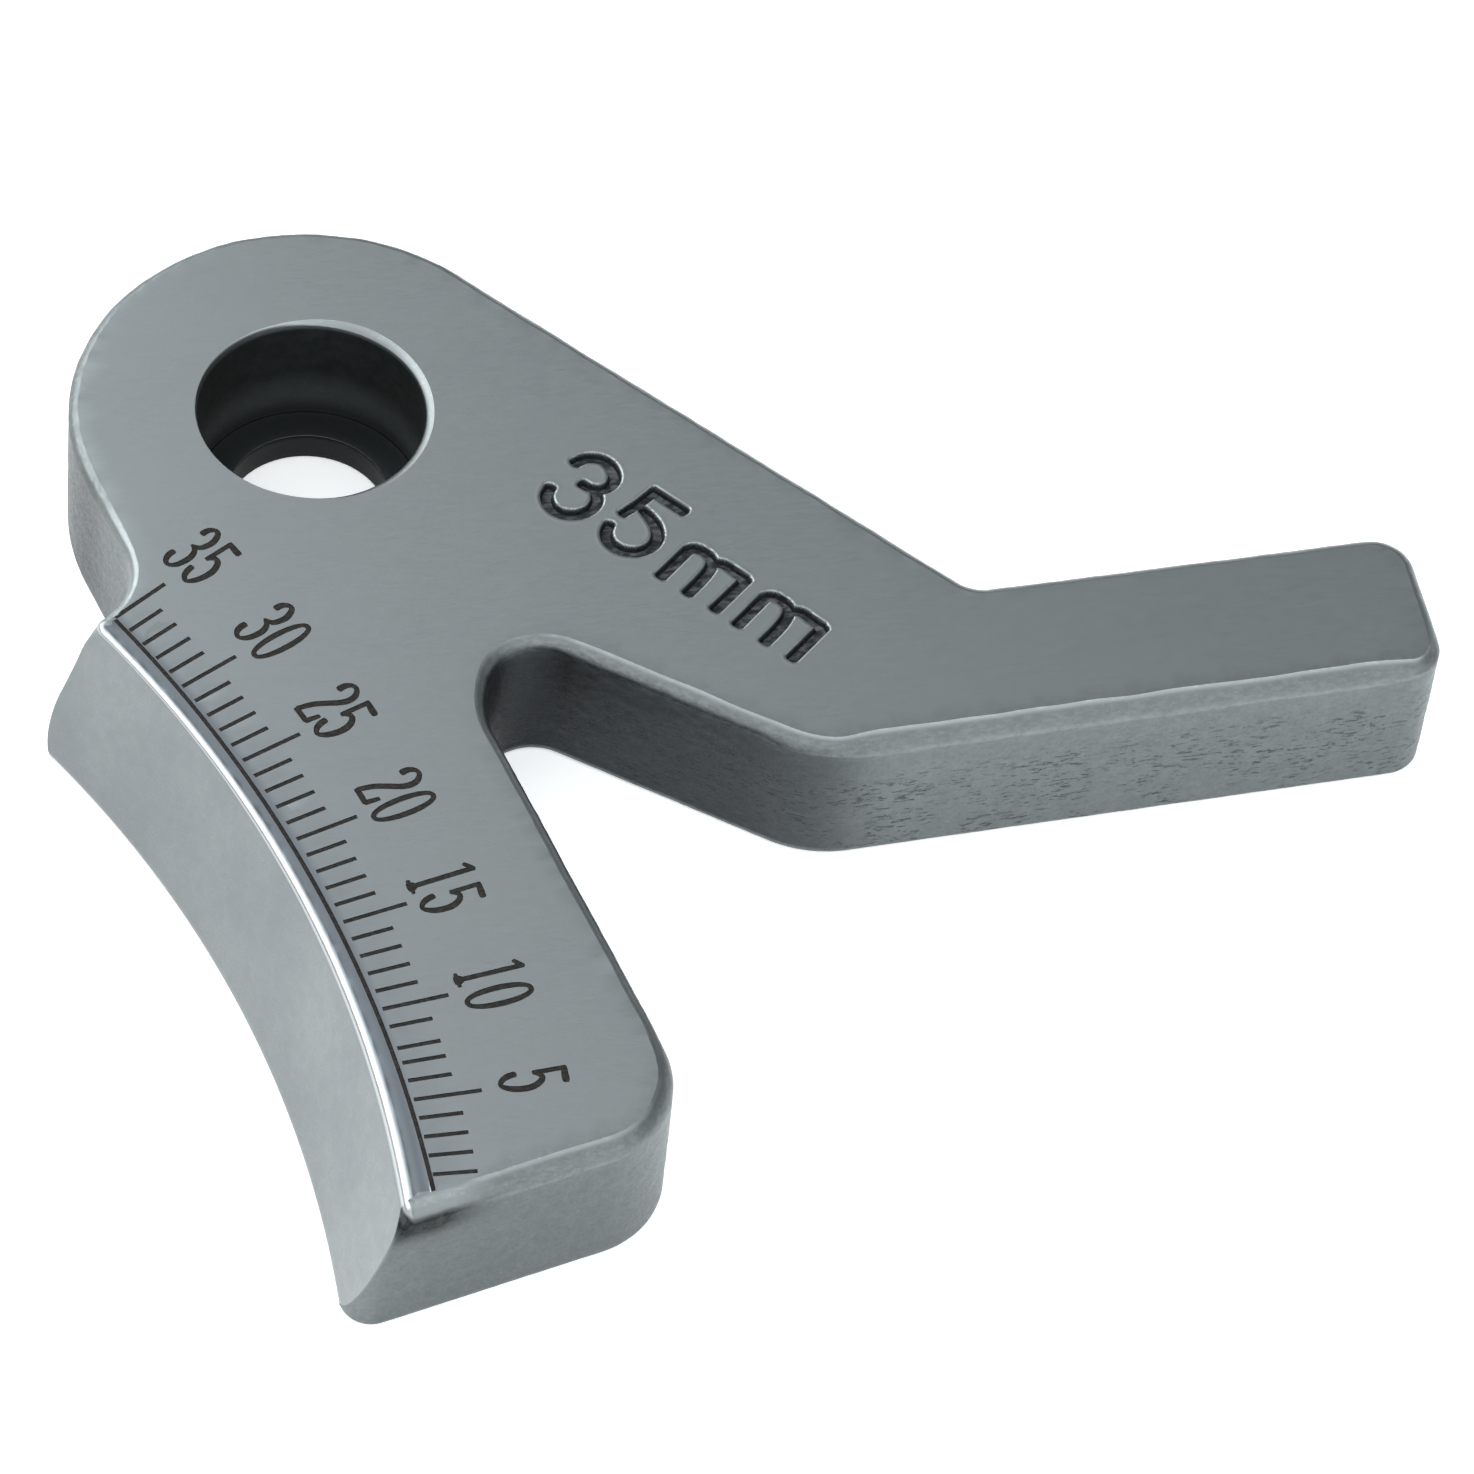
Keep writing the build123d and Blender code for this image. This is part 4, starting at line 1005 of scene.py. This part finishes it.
def steel_material():
    m, nt, bsdf = new_mat("forged_steel")
    k = Kit(nt)
    bsdf.inputs["Metallic"].default_value = 1.0
    side, edge, bev, bore = k.attr("m_side"), k.attr("m_edge"), k.attr("m_bevel"), k.attr("m_bore")
    pit, roll, dark, lip = k.attr("m_pit"), k.attr("m_roll"), k.attr("m_size_dark"), k.attr("m_size_lip")
    shade, flat, step = k.attr("m_shade"), k.attr("m_flat"), k.attr("m_step")
    painted_highlight_a, tip_a = k.attr("m_line"), k.attr("m_tip")
    pos_n = nt.nodes.new("ShaderNodeSeparateXYZ")
    k.link(k.coords(), pos_n.inputs[0])
    low = k.ramp(pos_n.outputs["Z"], 0.0046, 0.0064, 1.0, 0.12)

    # grinding lines along the tail's direction
    fine = k.noise(k.coords((0.075, 1.0, 0.2)), 15000, 3, 0.7)
    mid = k.noise(k.coords((0.12, 1.0, 0.2)), 9000, 4, 0.75, 0.15)
    wide = k.noise(k.coords((0.35, 1.0, 0.3)), 300, 3, 0.55)
    cloud = k.noise(k.coords(), 130, 3, 0.5)
    specks = k.noise(k.coords((0.5, 1.0, 1.0)), 7000, 2, 0.6)
    grind = k.math("ADD", k.math("MULTIPLY", fine, 0.5), k.math("MULTIPLY", mid, 0.5))

    # forged skin: grain, long pits
    grain = k.noise(k.coords(), 5200, 4, 0.65)
    skin_n = k.noise(k.coords(), 1500, 4, 0.6)
    pits_n = k.noise(k.coords((0.26, 0.26, 1.0)), 7200, 3, 0.62, 0.25)
    pits = k.ramp(pits_n, 0.550, 0.630)
    pit_patch = k.ramp(k.noise(k.coords(), 420, 2, 0.5), 0.30, 0.58)
    pits = k.math("MULTIPLY", k.math("MULTIPLY", pits, pit), k.math("MULTIPLY", pit_patch, low))

    top_a = k.mix(k.ramp(wide, 0.25, 0.75), (0.337, 0.358, 0.367, 1), (0.363, 0.384, 0.392, 1))
    top_b = k.mix(k.ramp(cloud, 0.35, 0.68), top_a, (0.351, 0.374, 0.377, 1))
    top_c = k.mix(k.ramp(grind, 0.32, 0.68), (0.315, 0.336, 0.345, 1), top_b)
    top_c = k.mix(k.ramp(specks, 0.70, 0.80, 0.0, 0.25), top_c, (0.226, 0.240, 0.249, 1))
    # painted shade: the face is darker in a strip along the bevel edge and, more faintly, some millimetres inward from
    # it
    strip = k.ramp(roll, 0.62, 0.84)
    top_c = k.mix(k.math("MULTIPLY", strip, 0.85), top_c, (0.135, 0.148, 0.168, 1))
    top_c = k.mix(k.ramp(roll, 0.0, 0.7, 0.0, 0.30), top_c, (0.210, 0.228, 0.252, 1))
    wall_a = k.mix(k.ramp(skin_n, 0.25, 0.75), (0.132, 0.144, 0.146, 1), (0.155, 0.167, 0.169, 1))
    wall_b = k.mix(k.ramp(grain, 0.30, 0.70), k.mix(0.35, wall_a, (0.111, 0.120, 0.121, 1)), wall_a)
    wall_c = k.mix(k.math("MULTIPLY", pits, 0.85), wall_b, (0.045, 0.048, 0.048, 1))
    bev_a = k.mix(k.ramp(cloud, 0.30, 0.70), (0.157, 0.166, 0.171, 1), (0.183, 0.196, 0.199, 1))
    bev_b = k.mix(k.ramp(skin_n, 0.35, 0.75, 0.0, 0.25), bev_a, (0.138, 0.146, 0.152, 1))
    edge_n = k.noise(k.coords((0.35, 0.35, 1.0)), 6800, 4, 0.68)
    edge_c = k.mix(k.ramp(edge_n, 0.32, 0.66), (0.124, 0.133, 0.135, 1), (0.174, 0.183, 0.185, 1))
    edge_c = k.mix(k.math("MULTIPLY", flat, 0.8), edge_c, k.mix(k.ramp(edge_n, 0.34, 0.64), (0.090, 0.097, 0.099, 1), (0.139, 0.147, 0.148, 1)))

    # painted shade on the walls where the shade mask is high
    wall_c = k.mix(k.math("MULTIPLY", shade, 0.92), wall_c, (0.020, 0.022, 0.024, 1))
    col = k.mix(side, top_c, wall_c)
    col = k.mix(bev, col, bev_b)
    wear = k.math("MULTIPLY", k.math("MULTIPLY", edge, k.ramp(edge_n, 0.25, 0.62, 0.35, 1.0)), k.ramp(shade, 0.0, 0.9, 1.0, 0.35))
    col = k.mix(k.math("MULTIPLY", wear, 0.85), col, edge_c)
    # painted highlight: light lines along the edges' ground flats and the bore's mouth
    col = k.mix(k.math("MULTIPLY", painted_highlight_a, k.ramp(edge_n, 0.30, 0.60, 0.20, 0.9)), col, (0.225, 0.238, 0.242, 1))
    bev_edge = k.math("MULTIPLY", edge, bev)
    col = k.mix(bev_edge, col, (0.52, 0.53, 0.54, 1))
    col = k.mix(k.math("MULTIPLY", tip_a, k.ramp(skin_n, 0.30, 0.55, 0.75, 1.0)), col, (0.006, 0.007, 0.007, 1))
    # painted shade: the bore's inside is painted near black, lighter towards its foot as painted light from below, and
    # darker still on the ledge and its lip
    bore_shade_c = k.mix(k.ramp(skin_n, 0.3, 0.7), (0.019, 0.022, 0.022, 1), (0.027, 0.031, 0.030, 1))
    bore_shade_c = k.mix(k.ramp(pos_n.outputs["Z"], 0.0016, 0.0048, 1.0, 0.0), bore_shade_c, (0.125, 0.137, 0.134, 1))
    bore_shade_c = k.mix(k.math("MULTIPLY", step, 0.97), bore_shade_c, (0.004, 0.005, 0.005, 1))
    col = k.mix(bore, col, bore_shade_c)
    col = k.mix(k.math("MULTIPLY", lip, k.ramp(edge_n, 0.25, 0.7, 0.1, 0.6)), col, (0.19, 0.20, 0.20, 1))
    col = k.mix(dark, col, k.mix(k.ramp(grain, 0.35, 0.7), (0.018, 0.019, 0.020, 1), (0.040, 0.043, 0.045, 1)))
    k.link(col, bsdf.inputs["Base Color"])

    rough_top = k.lerp(k.ramp(grind, 0.3, 0.7), 0.37, 0.31)
    rough_wall = k.lerp(k.ramp(grain, 0.3, 0.7), 0.50, 0.38)
    rough_bev = k.lerp(k.ramp(skin_n, 0.3, 0.7), 0.25, 0.31)
    r = k.lerp(side, rough_top, rough_wall)
    r = k.lerp(bev, r, rough_bev)
    r = k.lerp(strip, r, 0.33)
    r = k.lerp(k.math("MULTIPLY", wear, 0.8), r, k.ramp(edge_n, 0.3, 0.7, 0.48, 0.36))
    r = k.lerp(bore, r, 0.6)
    r = k.lerp(bev_edge, r, 0.13)
    r = k.lerp(dark, r, 0.75)
    k.link(r, bsdf.inputs["Roughness"])

    h_top = k.math("ADD", k.math("MULTIPLY", fine, 0.6), k.math("MULTIPLY", mid, 0.35))
    h_top = k.math("ADD", h_top, k.math("MULTIPLY", k.noise(k.coords(), 14000, 2, 0.6), 0.35))
    flat_w = k.math("SUBTRACT", 1.0, side, clamp=True)
    h_top = k.math("MULTIPLY", h_top, k.math("MULTIPLY", flat_w, k.math("SUBTRACT", 1.0, dark, clamp=True)))
    h_wall = k.math("ADD", k.math("MULTIPLY", grain, 1.0), k.math("MULTIPLY", skin_n, 1.6))
    h_wall = k.math("SUBTRACT", h_wall, k.math("MULTIPLY", pits, 2.6))
    h_wall = k.math("MULTIPLY", h_wall, k.math("MULTIPLY", side, k.math("SUBTRACT", 1.0, k.math("MULTIPLY", bev, 0.90))))
    n1 = k.bump(h_top, 0.0000030, 1.0)
    n2 = k.bump(h_wall, 0.000009, 1.0, n1)
    n3 = k.bump(k.math("MULTIPLY", edge_n, k.math("MULTIPLY", edge, k.math("SUBTRACT", 1.0, k.math("MULTIPLY", bev, 0.92)))),
                0.000010, 1.0, n2)
    k.link(n3, bsdf.inputs["Normal"])
    return m


def mark_material(name, c0, c1, scale):
    m, nt, bsdf = new_mat(name)
    k = Kit(nt)
    n = k.noise(k.coords((0.5, 1, 1)), scale, 3, 0.6)
    n2 = k.noise(k.coords(), scale * 0.22, 2, 0.5)
    c = k.mix(k.ramp(n, 0.35, 0.72), c0, c1)
    c = k.mix(k.ramp(n2, 0.45, 0.75, 0.0, 0.6), c, c0)
    bsdf.inputs["Specular IOR Level"].default_value = 0.12
    k.link(c, bsdf.inputs["Base Color"])
    k.link(k.ramp(n, 0.3, 0.7, 0.65, 0.9), bsdf.inputs["Roughness"])
    k.link(k.bump(n, 0.000008, 1.0), bsdf.inputs["Normal"])
    return m


steel = steel_material()
mesh.materials.append(steel)
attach(arm, "root")
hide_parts("steel_arm")

mark = mark_material("mark_black_paint", (0.010, 0.009, 0.008, 1), (0.032, 0.029, 0.025, 1), 9000)
size = mark_material("size_black_residue", (0.014, 0.015, 0.016, 1), (0.085, 0.090, 0.094, 1), 4200)
for name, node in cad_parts.items():
    if name == "steel_arm":
        continue
    use = size if name.startswith("size_") else mark
    node.data.materials.clear()
    node.data.materials.append(use)

# ---------------------------------------------------------------------------
# stage, light, camera
# ---------------------------------------------------------------------------
scene = bpy.context.scene
fm = bpy.data.meshes.new("floor")
s = 3.0
fm.from_pydata([(-s, -s, -0.00004), (s, -s, -0.00004), (s, s, -0.00004), (-s, s, -0.00004)], [], [(0, 1, 2, 3)])
floor = bpy.data.objects.new("floor", fm)
scene.collection.objects.link(floor)
fmat, fnt, fb = new_mat("pale_floor")
fb.inputs["Base Color"].default_value = (0.92, 0.92, 0.92, 1)
fb.inputs["Roughness"].default_value = 0.9
fb.inputs["Specular IOR Level"].default_value = 0.1
fb.inputs["Emission Color"].default_value = (1, 1, 1, 1)
fb.inputs["Emission Strength"].default_value = 0.40
fm.materials.append(fmat)

world = bpy.data.worlds.new("studio")
scene.world = world
world.use_nodes = True
bg = world.node_tree.nodes.get("Background")
wt = world.node_tree
kw = Kit(wt)
wc = wt.nodes.new("ShaderNodeTexCoord")


def lobe(direction, lo, hi):
    """1 around a direction, falling smoothly to 0 where the cosine drops from hi to lo."""
    d = wt.nodes.new("ShaderNodeVectorMath")
    d.operation = "DOT_PRODUCT"
    wt.links.new(wc.outputs["Generated"], d.inputs[0])
    d.inputs[1].default_value = turn_vec(Vector(direction).normalized())
    return kw.ramp(d.outputs["Value"], lo, hi)


W_ALL, W_FRONT, W_BACK_LEFT, W_LOW = 0.02, 1.95, 3.95, 0.80
glow = kw.math("MULTIPLY_ADD", lobe((0.05, -0.60, 0.80), 0.10, 0.90), W_FRONT, W_ALL)
glow = kw.math("MULTIPLY_ADD", lobe((-0.63, 0.50, 0.60), 0.835, 0.955), W_BACK_LEFT, glow)
glow = kw.math("MULTIPLY_ADD", lobe((0, 0, -1), -0.62, -0.20), W_LOW, glow)
wt.links.new(glow, bg.inputs["Strength"])
bg.inputs["Color"].default_value = (0.915, 0.972, 0.990, 1)


def softbox(name, pos, aim, size_x, size_y, power, color=(1, 1, 1)):
    ld = bpy.data.lights.new(name, "AREA")
    ld.shape = "RECTANGLE"
    ld.size, ld.size_y = size_x, size_y
    ld.energy = power
    ld.color = color
    ob = bpy.data.objects.new(name, ld)
    scene.collection.objects.link(ob)
    ob.location = turn_vec(pos)
    d = turn_vec(aim) - ob.location
    ob.rotation_mode = "QUATERNION"
    ob.rotation_quaternion = d.to_track_quat("-Z", "Y")
    return ob


softbox("left", (-0.78, 0.02, 0.50), (-0.005, -0.02, 0), 0.55, 0.45, 1.5)

scene.view_settings.view_transform = "Standard"
scene.view_settings.look = "None"
scene.view_settings.exposure = 0.0
scene.view_settings.gamma = 1.0

CAM_F, CAM_E, CAM_RHO = 7172.795, 0.893158, 0.121777
CAM_C = np.array([21.3257, -217.4827, 250.0376 + THICK])
fw = np.array([0, math.cos(CAM_E), -math.sin(CAM_E)])
rt, up = np.array([1.0, 0, 0]), np.array([0, math.sin(CAM_E), math.cos(CAM_E)])
r_ax = math.cos(CAM_RHO) * rt + math.sin(CAM_RHO) * up
u_ax = -math.sin(CAM_RHO) * rt + math.cos(CAM_RHO) * up
cd = bpy.data.cameras.new("camera")
cam = bpy.data.objects.new("camera", cd)
scene.collection.objects.link(cam)
cd.sensor_width = 36.0
cd.lens = 36.0 * CAM_F / 1474.0
cd.clip_start, cd.clip_end = 0.01, 20.0
cd.dof.use_dof = False
X, Y, Z = turn_vec(r_ax), turn_vec(u_ax), -turn_vec(fw)
rot = Matrix(((X[0], Y[0], Z[0]), (X[1], Y[1], Z[1]), (X[2], Y[2], Z[2])))
pos = to_row(CAM_C)
cam.matrix_world = Matrix.Translation(Vector(pos)) @ rot.to_4x4()
scene.camera = cam

bpy.context.view_layer.update()
